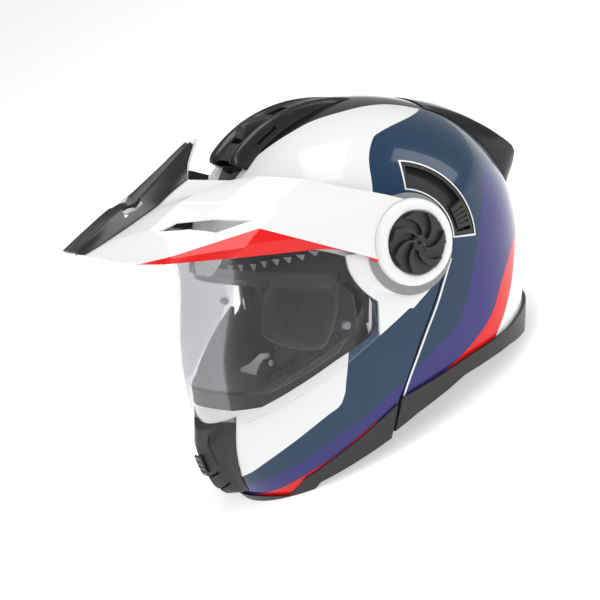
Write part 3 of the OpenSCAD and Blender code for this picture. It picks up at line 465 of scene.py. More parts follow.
def tool(mesh):
    """The bmesh as an object, to cut with or to finish."""
    obj = bpy.data.objects.new("tool", bpy.data.meshes.new("tool"))
    mesh.to_mesh(obj.data)
    mesh.free()
    bpy.context.scene.collection.objects.link(obj)
    return obj


def outward(mesh):
    """The same for a mesh whose faces still have to be turned outwards."""
    bmesh.ops.recalc_face_normals(mesh, faces=mesh.faces)
    return tool(mesh)


def twin(obj):
    """A second object with a mesh of its own."""
    second = bpy.data.objects.new("tool", obj.data.copy())
    bpy.context.scene.collection.objects.link(second)
    return second


def grid(nu, nv):
    """Flat grid from -1 to 1, to be bent by its points."""
    mesh = bmesh.new()
    bmesh.ops.create_grid(mesh, x_segments=nu, y_segments=nv, size=1)
    return mesh


def extruded(mesh, faces):
    """Extrudes the faces, keeps them as the near end, and gives the far end's points."""
    out = bmesh.ops.extrude_face_region(mesh, geom=faces, use_keep_orig=True)
    return [g for g in out["geom"] if isinstance(g, bmesh.types.BMVert)]


def egg(lift=0.0, form=SKIN):
    """Closed egg at a lift from the form, or at lift(angle in degrees, x) where it varies."""
    mesh = bmesh.new()
    bmesh.ops.create_uvsphere(mesh, u_segments=144, v_segments=72, radius=1)
    for v in mesh.verts:
        x, y, z = v.co.z, v.co.x, v.co.y
        side = math.asin(max(-1.0, min(1.0, x)))
        a = math.atan2(z, y)
        reach, full = section(form, round(math.degrees(a), 3) % 360)
        d = lift(math.degrees(a), form[2] * math.sin(side)) if callable(lift) else lift
        r = (reach + d) * max(0.0, math.cos(side)) ** (2 / full)
        v.co = (math.copysign((form[2] + d) * abs(math.sin(side)) ** (2 / full), x),
                MIDDLE[0] + r * math.cos(a), MIDDLE[1] + r * math.sin(a))
    return tool(mesh)


def prism(points, x0=-OUT, x1=OUT):
    """Prism across the helmet; its side view is the line of points."""
    mesh = bmesh.new()
    side = mesh.faces.new([mesh.verts.new((x0, y, z)) for y, z in points])
    bmesh.ops.translate(mesh, vec=(x1 - x0, 0, 0), verts=extruded(mesh, [side]))
    return outward(mesh)


def disc(radius, x0, x1, inner=None, at=(0.0, 0.0), segments=96):
    """Disc round a line along x; with inner given, a cone from inner at x0 to radius at x1."""
    mesh = bmesh.new()
    turn = Matrix.Rotation(math.copysign(math.pi / 2, x1 - x0), 4, "Y")
    bmesh.ops.create_cone(mesh, cap_ends=True, segments=segments, radius1=inner or radius, radius2=radius,
                          depth=abs(x1 - x0), matrix=Matrix.Translation(((x0 + x1) / 2, *at)) @ turn)
    return tool(mesh)


def bores(radius, x0, x1=OUT, **more):
    """The same disc on the left and on the right."""
    return [disc(radius, s * x0, s * x1, **more) for s, _ in SIDES]


def level(z):
    return [(-FAR, z), (FAR, z)]


def below(line):
    return prism(list(line) + [(FAR, -FAR), (-FAR, -FAR)])


def above(line):
    return prism(list(line) + [(FAR, FAR), (-FAR, FAR)])


def behind(y):
    return prism([(y, -FAR), (FAR, -FAR), (FAR, FAR), (y, FAR)])


def moved(line, dy, dz):
    return [(y + dy, z + dz) for y, z in line]


def arc(radius, degrees):
    """Points of the side view on a circle round the pivots."""
    return [(radius * math.cos(math.radians(a)), radius * math.sin(math.radians(a))) for a in degrees]


def applied(obj):
    """The object with its modifiers worked into its mesh."""
    shape = bpy.data.meshes.new_from_object(obj.evaluated_get(bpy.context.evaluated_depsgraph_get()))
    obj.modifiers.clear()
    old, obj.data = obj.data, shape
    bpy.data.meshes.remove(old)
    return obj


def cut(obj, tools, how="DIFFERENCE"):
    """Applies each tool in turn to obj and throws the tools away."""
    for t in tools:
        step = obj.modifiers.new("cut", "BOOLEAN")
        step.operation, step.solver, step.object = how, "MANIFOLD", t
    applied(obj)
    for t in tools:
        bpy.data.meshes.remove(t.data)
    return obj


trial = egg()
print("an egg tool has", len(trial.data.polygons), "faces")
bpy.data.meshes.remove(trial.data)

# %% [markdown]
# Every finished piece goes the same way: into the frame, smooth except at its real edges,
# onto its body, with the frame's solid hidden behind it.

# %% Placing a finished piece
def piece(obj, name, body, finish, stands_for=(), sharp=32, inside=None):
    """Places obj on its body. A finish given as inside goes on the faces that look inwards."""
    obj.name = obj.data.name = name
    obj.data.transform(WORN)
    mesh = bmesh.new()
    mesh.from_mesh(obj.data)
    bmesh.ops.remove_doubles(mesh, verts=mesh.verts, dist=1e-6)
    bmesh.ops.dissolve_degenerate(mesh, edges=mesh.edges, dist=1e-7)
    mesh.to_mesh(obj.data)
    mesh.free()
    obj.data.shade_smooth()
    obj.data.set_sharp_from_angle(angle=math.radians(sharp))
    marks = [p.material_index for p in obj.data.polygons]
    obj.data.materials.clear()
    finishes = finish if isinstance(finish, (list, tuple)) else [finish]
    if inside:
        heart = WORN @ Vector((0, *MIDDLE))
        marks = [int(p.normal.dot((p.center - heart).normalized()) < 0.25) for p in obj.data.polygons]
        finishes = [finish, inside]
    for f in finishes:
        obj.data.materials.append(f.material)
    obj.data.polygons.foreach_set("material_index", marks if len(finishes) > 1 else [0] * len(marks))
    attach(obj, body)
    if stands_for:
        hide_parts(*stands_for)
    print(name, len(obj.data.polygons), "faces")
    return obj


# %% [markdown]
# ## Painted shell
# The shell is the egg with its inner egg taken out, stepped down where the chin bar lies over
# it, with a round well for each side pivot and a ring-shaped well for the sun visor's slider.

# %% Lines of the side view
SEAM = [(34, -12), (28, -30), (23, -46), (12, -77), (0, -124), (-1, -152)]
PORT_TOP = -31
PORT_LOW = [(-24, -48), (-22, -62), (-28, -73), (-50, -91), (-92, -129), (-106, -134)]
SHELL_FRONT = [(-40, PORT_TOP), (-33, -36), (-29, -48), (-16, -110), (-13, -FAR)]
TRIM_TOP = [(-FAR, -280), (-2, -123), (32, -105), (60, -90), (83, -80), (101, -72), (111, -66), (190, -30)]
TRIM_LOW = [(-3, -151), (17, -134), (40, -118), (56, -106), (79, -96), (103, -86), (127, -80), (190, -76)]
CHIN_LOW = [(-FAR, -208), (-84, -208), (-60, -203), (-58, -196), (-56, -187), (-45, -174), (-2, -127),
            (20, -106)]
CHIN_TRIM_LOW = [(-55, -FAR), (-55, -208), (-48, -200), (-45, -190), (-1, -154), (20, -137)]
BEHIND_SEAM = moved(SEAM, 1.2, 0) + [(0.2, -FAR), (-FAR, -FAR)]
SHELL_WALL, CHIN_WALL, UNDER_CHIN = 3.8, 3.4, 4.8
SEAT_X, HINGE_X, HUB_X, POD_X = 117.0, 119.9, 124.2, 127.3
HINGE_R, SEAT_R, HUB_R, POD_R = 37.0, 38.5, 33.0, 33.5
TABLE = 144                         # the side pivots' height over the table
GAP = 0.3                           # between pieces that lie in one another or turn


def overlap(d):
    """What the chin bar covers of the shell, moved back and up by d."""
    return prism(moved([(-FAR, -90), (-60, -90), (-50, -24), (0, 0)] + BEHIND_SEAM, d, d))


def stepped(lift):
    """Egg that steps down under the chin bar."""
    under = cut(overlap(-lift), [egg(lift - UNDER_CHIN)])
    return cut(egg(lift), [under])


def table():
    """Everything under the table, as the worn helmet sees it."""
    c, s = math.cos(LEAN), math.sin(LEAN)
    top = [(y * c + TABLE * s, y * s - TABLE * c) for y in (-400, 400)]
    return prism(top + [(y + FAR * s, z - FAR * c) for y, z in reversed(top)])


def ring_sector(r0, r1, a0, a1):
    """Part of a ring round the left pivot, between two radii and two angles."""
    turn = [a0 + (a1 - a0) * i / 24 for i in range(25)]
    return prism(arc(r1, turn) + arc(r0, turn[::-1]), 0, OUT)


print("walls:", SHELL_WALL, "mm shell,", CHIN_WALL, "mm chin bar")

# %% Shell
shell = cut(stepped(0), [stepped(-SHELL_WALL)])
# Round each pivot the form is left solid and filled with a disc, then bored flat as a seat.
pads = cut(stepped(0), bores(SEAT_R + 3, SEAT_X - 4), "INTERSECT")
shell = cut(shell, [pads] + bores(HINGE_R - GAP, SEAT_X - 3.8, SEAT_X + 1), "UNION")
cut(shell, bores(SEAT_R, SEAT_X)
    + [prism([(-FAR, PORT_TOP)] + SHELL_FRONT + [(-FAR, -FAR)]), below(moved(TRIM_TOP, 0, -5)),
       prism([(-FAR, -126), (4, -126), (4, -FAR), (-FAR, -FAR)]), ring_sector(40, 60, 4, 87)])
piece(shell, "painted_shell", "shell", shell_paint, ["outer_shell"], inside=black_plastic)

# %% [markdown]
# ## Rim moulding
# A soft black moulding grips the shell's lower edge and runs out into a lip at the nape, on
# which the helmet stands. It is 3 mm proud of the paint. The lip is a blister: a grid bent over
# the skin and extruded to just under it. Most mouldings further on are blisters too.

# %% Blisters on the skin
ROUNDED = ((-1, 0), (-0.85, 0.7), (-0.5, 0.95), (0, 1), (0.5, 0.95), (0.85, 0.7), (1, 0))


def straight(knots, a):
    """Straight lines from knot to knot, for a faceted moulding."""
    for (a0, v0), (a1, v1) in zip(knots, knots[1:]):
        if a <= a1 or (a1, v1) == knots[-1]:
            return v0 + (v1 - v0) * (a - a0) / (a1 - a0)


def blister(rows, across=ROUNDED, low=-2.0, nu=36, nv=40, mid=0.0, line=through):
    """Raised moulding on the skin: rows of (angle, half width, lift), shares of them across it."""
    mesh = grid(nu, nv)
    first, last = rows[0][0], rows[-1][0]
    for v in mesh.verts:
        a = first + (last - first) * (v.co.y + 1) / 2
        half = line([(r[0], r[1]) for r in rows], a)
        rise = line([(r[0], r[2]) for r in rows], a) * line(across, v.co.x)
        v.co = on_skin(a, mid + v.co.x * half, max(0.6, rise))
    for v in extruded(mesh, mesh.faces[:]):
        v.co = on_skin(math.degrees(math.atan2(v.co.z - MIDDLE[1], v.co.y - MIDDLE[0])), v.co.x, low)
    return outward(mesh)


def block(a0, a1, half, low, top, mid=0.0):
    """Block on the skin between two angles and two lifts."""
    return blister([(a0, half, top), (a1, half, top)], ((-1, 1), (1, 1)), low, 4, 6, mid, straight)


print("the skin at the nape, where the lip goes:", [round(c) for c in on_skin(337, 0)], "mm")

# %% Rim
rim = cut(egg(3), [egg(-11), above(TRIM_TOP), below(TRIM_LOW),
                   prism([(-FAR, FAR), (34, FAR)] + BEHIND_SEAM)])
cut(rim, [blister([(326, 62, 6), (331, 60, 11), (337, 56, 12), (342, 50, 7), (345, 46, 2)])], "UNION")
# The shell's edge, a gap wider all round, makes the groove that grips it.
cut(rim, [cut(stepped(GAP), [stepped(-4.1), below(moved(TRIM_TOP, 0, -5.3))]), table()])
piece(rim, "shell_rim", "shell", black_plastic, ["shell_edge_trim"])

# %% [markdown]
# ## Chin bar
# The chin bar continues the skin below the seam. Its arms are flared out to their hinge plates
# by a cone, and the eye port is cut through its front.

# %% Chin bar and its trim
IN = 60                             # where a bore starts inside the helmet
FLARE_START, FLARE_SLOPE = 90, 1.1


def flare(radius, x):
    """Cones that narrow outwards to radius at x."""
    return bores(radius, FLARE_START, x, inner=radius + FLARE_SLOPE * (x - FLARE_START))


chin = cut(egg(0), flare(HINGE_R + GAP, HINGE_X + 4), "UNION")
cut(chin, [prism([(-FAR, PORT_TOP - 1), (-34, -14), (0, 0), (34, -8)] + SEAM + [(-1, -FAR), (-FAR, -FAR)])],
    "INTERSECT")
cut(chin, [egg(-CHIN_WALL), prism([(-FAR, FAR), (-36, FAR), (-36, -22)] + PORT_LOW + [(-FAR, -136)])]
    + bores(HINGE_R + GAP, IN) + bores(SEAT_R + 8, IN, SEAT_X - 3.5)
    + [below(moved(CHIN_LOW, 0, -5)), table()])
piece(chin, "painted_chin_bar", "chin_bar", chin_paint, ["chin_bar_shell"],
      inside=black_plastic)

chin_trim = cut(egg(2.2), [
    egg(-10), above(CHIN_LOW), below(CHIN_TRIM_LOW), behind(-1),
    cut(egg(GAP), [egg(-CHIN_WALL - GAP), below(moved(CHIN_LOW, 0, -5.3))]), table()])
piece(chin_trim, "chin_trim", "chin_bar", black_plastic, ["chin_bar_trim"])

# %% [markdown]
# ## Visor
# The lens is a second, fuller egg. It ends in a ring round the pivots, where the white arms
# take over, and these carry it on the hubs.

# %% Lens, insert and arms
ARM_HEAD_R = HUB_R + 18
VISOR_REAR = [(-26, -28), (-22, -71)]
VISOR_LOW = [(-49, -97), (-100, -141), (-118, -144), (-FAR, -146)]
LENS_T = 2.2
visor = cut(egg(0, VISOR), [egg(-LENS_T, VISOR)] + bores(ARM_HEAD_R, IN))
cut(visor, [prism([(-FAR, 5), (-120, 5), (-48, -8), (-33, -16)] + VISOR_REAR + VISOR_LOW)], "INTERSECT")
piece(visor, "clear_visor", "visor", clear_lens, ["visor_lens"])

insert = cut(egg(-LENS_T - 0.5, VISOR), [egg(-LENS_T - 1.5, VISOR)]
             + bores(3.3, IN, at=(-44, -63.5), segments=32))
cut(insert, [prism([(-FAR, -18), (-60, -24), (-42, -40), (-38, -60), (-50, -84), (-92, -118),
                    (-FAR, -122)])], "INTERSECT")
piece(insert, "visor_fog_insert", "visor", insert_lens, ["fog_insert"])

ARM_REAR = [(-22, -71), (1, -50), (12, -40), (30, -30)]
ARM_T = 2.8
arms = cut(egg(0, VISOR), flare(HINGE_R + GAP, HUB_X + ARM_T), "UNION")
cut(arms, [cut(egg(-LENS_T, VISOR), flare(HINGE_R + GAP, HUB_X + 0.2), "UNION")]
    + bores(HUB_R + GAP, IN) + bores(HUB_R + 24, HUB_X + ARM_T))
zone = cut(prism([(0, 0)] + ARM_REAR[::-1] + VISOR_REAR[::-1]), [disc(ARM_HEAD_R - 0.2, -OUT, OUT)], "UNION")
cut(zone, [prism([(0, 0), (-60, -11), (-60, -60), (-22, -78), (9, -45), (27, -26), (31, -18), (31, 0)])],
    "INTERSECT")
cut(arms, [zone], "INTERSECT")
for arm, (side, word) in zip((twin(arms), arms), SIDES):
    half = prism([(-FAR, -FAR), (FAR, -FAR), (FAR, FAR), (-FAR, FAR)], *sorted((0, OUT * side)))
    cut(arm, [half], "INTERSECT")
    piece(arm, f"visor_arm_white_{word}", "visor", white_paint, [f"visor_arm_{word}"])

# %% [markdown]
# ## Peak
# The peak is one thin moulding of flat fields and creases, so it starts as a coarse net of
# points from pod to pod. Creased edges stay crisp when the net is subdivided, and the rest
# softens towards the pods. The red flange is paint, masked by two straight lines of the side
# view that lie along the moulding's own crease.

# %% Net of the peak
PEAK = [
    [(0, -120, 76), (0, -146, 43), (0, -172, 19), (0, -183, 23), (0, -206, 7), (0, -216, -1), (0, -227, -9)],
    [(3, -121, 77), (7, -147, 53), (11, -175, 28), (11, -187, 23), (12, -205, 8), (12, -215, 0),
     (11, -226, -9)],
    [(20, -137, 57), (19, -149, 44), (18, -169, 27), (17, -189, 15), (15, -205, 3), (14, -213, -3),
     (12.5, -223, -10)],
    [(28, -140, 46), (27, -151, 38), (25, -164, 26), (22, -190, 9), (18, -205, -1), (16, -213, -6),
     (14, -220, -10)],
    [(55, -118, 46), (53, -137, 39), (50, -156, 31), (51, -172, 18), (52, -182, 11), (50, -194, -3),
     (48, -204, -14)],
    [(76, -104, 50), (77, -118, 42), (78, -134, 30), (79, -148, 15), (78, -166, -1), (78.5, -177, -10),
     (75, -181, -14)],
    [(102, -79, 48), (101, -88, 40), (101, -98, 29), (103, -108, 20), (104, -117, 12), (105.5, -128, 1),
     (102, -135, -9)],
    [(115, -51, 42), (115, -58, 34), (115, -68, 25), (115, -78, 16), (113, -92, 7), (114, -92, 5),
     (113, -88, -5)],
    [(128, -30, 38), (128.8, -36, 30), (129, -43, 22), (129, -50, 13), (127.5, -58, 5), (126, -62, 2),
     (124, -66, -2)],
    [(131.5, -4, 32), (131.5, -10, 25), (131.5, -17, 16), (131.5, -25, 7), (131.5, -32, -2), (131, -36, -5),
     (131, -40, -9)],
    [(132.3, 14, 26), (132.3, 5, 18), (132.3, -3, 8), (132.3, -12, 0), (132.3, -22, -8), (132, -28, -11),
     (131.5, -33, -14)]]
COLUMNS = [[(-x, y, z) for x, y, z in c] for c in PEAK[:0:-1]] + PEAK
MIDDLE_COLUMN = len(PEAK) - 1


def face_up(mesh):
    bmesh.ops.recalc_face_normals(mesh, faces=mesh.faces)
    if sum(f.normal.z for f in mesh.faces) < 0:
        bmesh.ops.reverse_faces(mesh, faces=mesh.faces)


def net(columns, crisp):
    """Sheet through columns of points; crisp(i, j, i2, j2) says how sharp each edge stays."""
    n, m = len(columns) - 1, len(columns[0]) - 1
    mesh = grid(n, m)
    spot = {}
    for v in mesh.verts:
        i, j = round((v.co.x + 1) / 2 * n), round((v.co.y + 1) / 2 * m)
        spot[v] = (i, j)
        v.co = columns[i][j]
    crease = mesh.edges.layers.float.new("crease_edge")
    for e in mesh.edges:
        (i, j), (i2, j2) = sorted((spot[e.verts[0]], spot[e.verts[1]]))
        e[crease] = 1.0 if len(e.link_faces) == 1 else crisp(i, j, i2, j2)
    for f in mesh.faces:                # mark 1 is the middle, which the black panel covers
        column = sum(spot[v][0] for v in f.verts) / 4
        f.material_index = 1 if abs(column - n / 2) < 3 else 0
    face_up(mesh)
    return tool(mesh)


def peak_crease(i, j, i2, j2):
    """Edges along a column keep its crease; edges from column to column keep their row's."""
    column = abs(i - MIDDLE_COLUMN)
    if i == i2:
        return (0.6, 1.0, 0.2, 1.0, 1.0, 1.0, 1.0, 0.6, 0.0, 0.0, 0.0)[column]
    return (0.2, 0.3, 0.9, 0.9, 1.0, 0.9, 0.0)[j] if column > 2 else (0.7 if j == 2 else 0.1)


def finished(obj, *steps):
    """Adds modifiers by kind and settings, and works them into the mesh."""
    for kind, settings in steps:
        step = obj.modifiers.new(kind.lower(), kind)
        for key, value in settings.items():
            setattr(step, key, value)
    return applied(obj)


def edges_rounded(width, least=50, segments=2):
    return "BEVEL", {"width": width, "segments": segments, "limit_method": "ANGLE",
                     "angle_limit": math.radians(least)}


def walled(wall, offset=-1.0, inner=0):
    return "SOLIDIFY", {"thickness": wall, "offset": offset, "use_even_offset": True,
                        "material_offset": inner}


def subdivided(levels):
    return "SUBSURF", {"levels": levels, "render_levels": levels}


def pierced(outline, depth):
    """Tool through a field: the outline's points pushed to both sides of their own plane."""
    mesh = bmesh.new()
    side = mesh.faces.new([mesh.verts.new(p) for p in outline])
    side.normal_update()
    way = side.normal.copy()
    bmesh.ops.translate(mesh, vec=way * -depth, verts=side.verts[:])
    bmesh.ops.translate(mesh, vec=way * 2 * depth, verts=extruded(mesh, [side]))
    return outward(mesh)


def slots(outline, depth):
    """The same opening on the left and on the right."""
    return [pierced([(s * x, y, z) for x, y, z in outline], depth) for s, _ in SIDES]


print("net of the peak:", len(COLUMNS), "columns of", len(PEAK[0]), "points")

# %% Peak
SIDE_SLOT = [(60, -180, 12), (64, -166.5, 19), (82, -142, 20.5), (96, -119, 17.6), (88, -145, 10.5),
             (74, -161, 12.8)]
FIN_SLOT = [(10, -187, 23.5), (17, -187, 17), (17, -172, 27.5), (10, -172, 32)]
sheet = net(COLUMNS, peak_crease)
# Slots 2 and 3, the underside, are satin black: partly the moulding's own colour, partly painted shade for
# the hollow seen through the side slots.
for m in (peak_paint, peak_paint, satin_black, satin_black):
    sheet.data.materials.append(m.material)
sheet = finished(sheet, subdivided(3))
panel = twin(sheet)
peak = finished(sheet, walled(2.4, inner=2), edges_rounded(0.5))
cut(peak, bores(POD_R + GAP, 100) + slots(SIDE_SLOT, 9) + slots(FIN_SLOT, 7))
piece(peak, "white_peak", "peak", [peak_paint, peak_paint, satin_black, satin_black],
      ["peak_shell"], 14)

# %% [markdown]
# The black centre panel lies on the peak's middle and up the front of its fin. It is the same
# subdivided sheet, cut down to those fields and lifted, so that it follows every crease, and it
# stops short of the fin's rear edge, where the white moulding shows.

# %% Centre panel
mesh = bmesh.new()
mesh.from_mesh(panel.data)
bmesh.ops.delete(mesh, geom=[f for f in mesh.faces if f.material_index == 0], context="FACES")
face_up(mesh)
mesh.normal_update()
for v in mesh.verts:
    v.co += v.normal * 0.3
bmesh.ops.bisect_plane(mesh, geom=mesh.verts[:] + mesh.edges[:] + mesh.faces[:], plane_co=(0, -126, 73),
                       plane_no=(0, 0.86, 0.5), clear_outer=True)
mesh.to_mesh(panel.data)
mesh.free()
finished(panel, walled(1.2, 1.0), edges_rounded(0.35))
cut(panel, slots(FIN_SLOT, 9))
piece(panel, "peak_black_panel", "peak", satin_black, ["peak_centre_panel"], 20)

# %% [markdown]
# ## Pods
# Each end of the peak is a round pod under its knob. Its rim is raised round the knob and falls
# off softly to its edge, so one profile is spun round the pivot axis.

# %% Pods
def lathed(profile, side, steps=96):
    """Closed profile of (x, radius) spun a full turn round the pivot axis."""
    mesh = bmesh.new()
    ring = [mesh.verts.new((side * x, r, 0)) for x, r in profile]
    edges = [mesh.edges.new((a, b)) for a, b in zip(ring, ring[1:] + ring[:1])]
    bmesh.ops.spin(mesh, geom=ring + edges, cent=(0, 0, 0), axis=(1, 0, 0), dvec=(0, 0, 0),
                   angle=math.tau, steps=steps, use_merge=True, use_duplicate=False)
    bmesh.ops.remove_doubles(mesh, verts=mesh.verts, dist=1e-4)
    return outward(mesh)


POD_PROFILE = [(POD_X, 4.1), (POD_X, 32.9), (POD_X + 0.6, POD_R), (130.5, POD_R), (132.6, 33.2),
               (134.3, 32.2), (135.5, 30.6), (136, 28.6), (136, 26.2), (135.7, 25.2), (135, 24.7),
               (133.3, 24.6), (133.3, 4.1)]
for side, word in SIDES:
    piece(lathed(POD_PROFILE, side), f"pod_{word}", "peak", white_paint,
          [f"peak_pod_{word}"], 40)

# %% [markdown]
# Each knob is held by one bolt under a small dished cap, which is spun in the same way. A grey crescent of
# painted shade shows below each pod: a flat disc, set a little low and cut off by a sloping line.

# %% Bolt caps and the grey crescent of painted shade under each pod
CAP = [(139.0, 1.4), (139.0, 5.3), (140.1, 5.4), (140.5, 4.9), (140.5, 4.2), (140.0, 3.6), (140.0, 2.0),
       (139.5, 1.4)]
for side, word in SIDES:
    piece(lathed(CAP, side, 48), f"knob_bolt_cap_{word}", f"{word}_knob", satin_black,
          [f"knob_bolt_{word}"], 30)
    # This grey ring shows only as a crescent under the pod: painted shade below the pod.
    lip = cut(disc(37.2, side * 127.4, side * 129, at=(-1.5, -3.2)), [disc(33.2, side * 120, side * 140)])
    cut(lip, [prism([(-60, -14), (60, -4), (60, -80), (-60, -80)])], "INTERSECT")
    piece(lip, f"pod_shade_crescent_{word}", "peak", grey_plastic)

# %% [markdown]
# ## Vents and spoiler
# The crown's scoop has two shoulders with a trough between them, in which its slider runs. Both
# are blisters on the skin, and the mouth, the trough and the grip lines are cut out with blocks.

# %% Crown vent and its slider
SHOULDERS = ((-1, 0), (-0.95, 0.62), (-0.82, 1), (-0.62, 0.97), (-0.5, 0.78), (-0.4, 0.72), (0.4, 0.72),
             (0.5, 0.78), (0.62, 0.97), (0.82, 1), (0.95, 0.62), (1, 0))
vent = blister([(100, 21, 0.8), (108, 23, 4), (118, 24, 8), (126, 24.5, 10.5), (133, 25, 12), (140, 25, 13),
                (147, 25, 13.6), (151.5, 25, 13.4), (153, 24.6, 11.5)], SHOULDERS, nu=64, nv=60)
cut(vent, [egg(GAP), block(146.5, 158, 16.5, 3, 9.2), block(122, 145, 9.2, 5, 20)]
    + [block(134, 143, 3.4, 4.5, 7.6, x) for x in (24, -24)]
    + [block(106, 128, 0.9, 5.6, 20, x) for x in (16, -16)])
piece(vent, "crown_vent_scoop", "shell", satin_black, ["top_vent_housing"])
slide = blister([(128.5, 5, 8), (131, 7, 11.5), (135, 8, 15.5), (138.5, 8.3, 18), (141, 8, 16.5),
                 (143, 7.4, 11)], low=4, nu=24, nv=30)
cut(slide, [egg(6.6), block(131.5, 132.6, 6, 12.6, 22), block(133.6, 134.7, 6, 14.4, 22),
            block(135.7, 136.8, 6, 16, 22)])
piece(slide, "crown_vent_slide", "top_vent_slider", black_plastic, ["top_vent_slider"])

# %% [markdown]
# The spoiler is a gloss wedge over the back of the crown, with upright sides: its rows are
# joined by straight lines and one light smoothing takes off the last sharpness. Below it, the
# grille is a low blister with three slots.

# %% Spoiler and rear grille
SHARP_SIDES = ((-1, 0.06), (-0.96, 0.5), (-0.88, 0.97), (-0.6, 1.04), (0.6, 1.04), (0.88, 0.97),
               (0.96, 0.5), (1, 0.06))
spoiler = blister([(20, 50, 1), (22.5, 54, 4.5), (27, 57, 13), (31, 58, 20.5), (33.5, 58, 21), (40, 58, 16),
                   (49, 57, 10.5), (58, 56, 6.5), (66, 55, 3.6), (74, 52, 1)], SHARP_SIDES,
                  nu=80, nv=72, line=straight)
cut(spoiler, [egg(GAP)])
spoiler = finished(spoiler, ("SMOOTH", {"factor": 0.4, "iterations": 1}))
piece(spoiler, "crown_spoiler", "shell", gloss_black, ["rear_spoiler"], 22)
grille = blister([(0, 46, 1.2), (4, 46, 3.2), (10, 46, 3.8), (15, 46, 3.4), (18.5, 46, 1.2)], nu=40, nv=24)
cut(grille, [egg(GAP)] + [block(a, a + 1.7, 36, 1.4, 9) for a in (4.5, 7.9, 11.3)])
piece(grille, "nape_grille", "shell", black_plastic, ["rear_vent_grille"])

# %% [markdown]
# The prow on the chin is faceted too. Its shutter is a block in a pocket of the prow, with three
# grip lines, and slides on its own joint.

# %% Chin vent
PROW = ((-1, 0.08), (-0.7, 0.18), (-0.32, 0.75), (0, 1), (0.32, 0.75), (0.7, 0.18), (1, 0.08))
prow = blister([(225.5, 38, 8), (228, 35, 15), (232, 29, 16), (236, 23, 15), (239, 17, 11), (241.5, 13, 3)],
               PROW, nu=50, nv=48, line=straight)
cut(prow, [egg(GAP), block(229, 233, 5.3, 15.5, 30), block(233.6, 234.1, 20, 9, 30),
           block(237, 237.5, 14, 6, 30)]
    + [block(226.6, 232.5, 0.5, 3, 30, x) for x in (13, -13)] + [table()])
piece(prow, "chin_prow", "chin_bar", black_plastic, ["chin_vent_housing"], 12)
shutter = block(229.1, 232.9, 5, 15.9, 17.6)
cut(shutter, [block(a, a + 0.5, 4.2, 16.8, 22) for a in (229.8, 230.8, 231.8)])
piece(shutter, "chin_shutter", "chin_vent_shutter", satin_black, ["chin_vent_shutter"], 20)

# %% [markdown]
# ## Sun visor and its slider
# The smoked band turns on itself round the pivot axis, so its section is spun round that axis
# and two arms are joined to it.

# %% Sun visor
SUN_R, SUN_T, SUN_HALF, SUN_END, SUN_FULL = 95.0, 2.0, 86.0, 98, 2.6


def sun_reach(x, lift):
    """The band's distance from the axis at x, a full curve that would close at SUN_END."""
    return (SUN_R + lift) * (1 - (abs(x) / SUN_END) ** SUN_FULL) ** (1 / SUN_FULL)


mesh = bmesh.new()
widths = [SUN_HALF * i / 16 for i in range(-16, 17)]
top_turn = Matrix.Rotation(math.radians(126), 4, "X")
loop = [mesh.verts.new(top_turn @ Vector((x, sun_reach(x, d), 0)))
        for xs, d in ((widths, 0), (widths[::-1], -SUN_T)) for x in xs]
edges = [mesh.edges.new((a, b)) for a, b in zip(loop, loop[1:] + loop[:1])]
bmesh.ops.spin(mesh, geom=loop + edges, cent=(0, 0, 0), axis=(1, 0, 0), dvec=(0, 0, 0),
               angle=math.radians(64), steps=40, use_merge=False, use_duplicate=False)
bmesh.ops.holes_fill(mesh, edges=[e for e in mesh.edges if e.is_boundary], sides=0)
sun = outward(mesh)
for s, _ in SIDES:
    x0, x1 = sorted((s * 84.0, s * SUN_HALF))
    arm = prism([(9, 0), (0, 9)] + arc(sun_reach(SUN_HALF, -1), range(132, 187, 3)) + [(0, -9)], x0, x1)
    cut(arm, [disc(10, x0, x1)], "UNION")
    cut(sun, [cut(arm, [disc(4.1, x0 - 1, x1 + 1)])], "UNION")
piece(sun, "smoked_sun_visor", "sun_visor", smoke_lens, ["sun_visor"])

# %% [markdown]
# The slider that lowers the sun visor runs in a ring-shaped well at the left pivot. Both are
# parts of that ring between two eggs, so they keep the skin's curve.

# %% Slider and its well
well = cut(egg(-0.6), [egg(-7), cut(ring_sector(43, 57, 8, 84), [egg(-5.4)])])
cut(well, [ring_sector(40.3, 59.7, 4.4, 86.6)], "INTERSECT")
piece(well, "slider_well", "shell", black_plastic, ["sun_slider_track"])
thumb = cut(egg(1.4), [egg(-3.2)])
cut(thumb, [ring_sector(43.5, 56.5, 11.5, 32.5)], "INTERSECT")
cut(thumb, [cut(ring_sector(45, 55, 15 + 4 * k, 16.6 + 4 * k), [egg(0.2)]) for k in range(4)])
piece(finished(thumb, edges_rounded(0.3, 40)), "sun_visor_thumb_slide", "sun_slider",
      black_plastic, ["sun_slider"])

# %% [markdown]
# ## Inside
# The comfort lining is quilted: its pads are puffed between sewn channels. Each padded piece is
# remeshed and smoothed, which rounds its cut edges as sewn cloth is. The foam behind shows only
# at the port, so a thin trim cloth covers its inner face.

# %% Lining, pads and neck roll
def softened(obj, voxel, rounds):
    return finished(obj, ("REMESH", {"mode": "VOXEL", "voxel_size": voxel}),
                    ("SMOOTH", {"factor": 0.5, "iterations": rounds}))


def channel(distance, width=3.0):
    return math.exp(-(distance / width) ** 2)


def quilt(a, x):
    """How far in the lining's face lies: deeper between the sewn channels than on them."""
    rows = min(abs(((a + 180) % 24) - 12) * 1.9, 12)
    return -34.6 + 3.2 * max(channel(abs(abs(x) - 30)), channel(abs(abs(x) - 74)), channel(12 - rows))


LINED = [(-FAR, -6), (-50, 0), (-20, 10), (60, 10), (110, -40), (FAR, -40), (FAR, -FAR), (-FAR, -FAR)]
# The sun visor's arms need room on both sides, as far round as they turn.
arm_sweep = [(9, -9), (9, 9)] + arc(99, range(122, 232, 5))
crown = cut(egg(-28.7), [egg(quilt), prism(LINED)]
            + [prism(arm_sweep, s * 84.5 - 3, s * 84.5 + 3) for s, _ in SIDES])
softened(crown, 2.4, 3)
piece(crown, "quilted_crown_lining", "shell", lining, ["crown_lining"], 60)


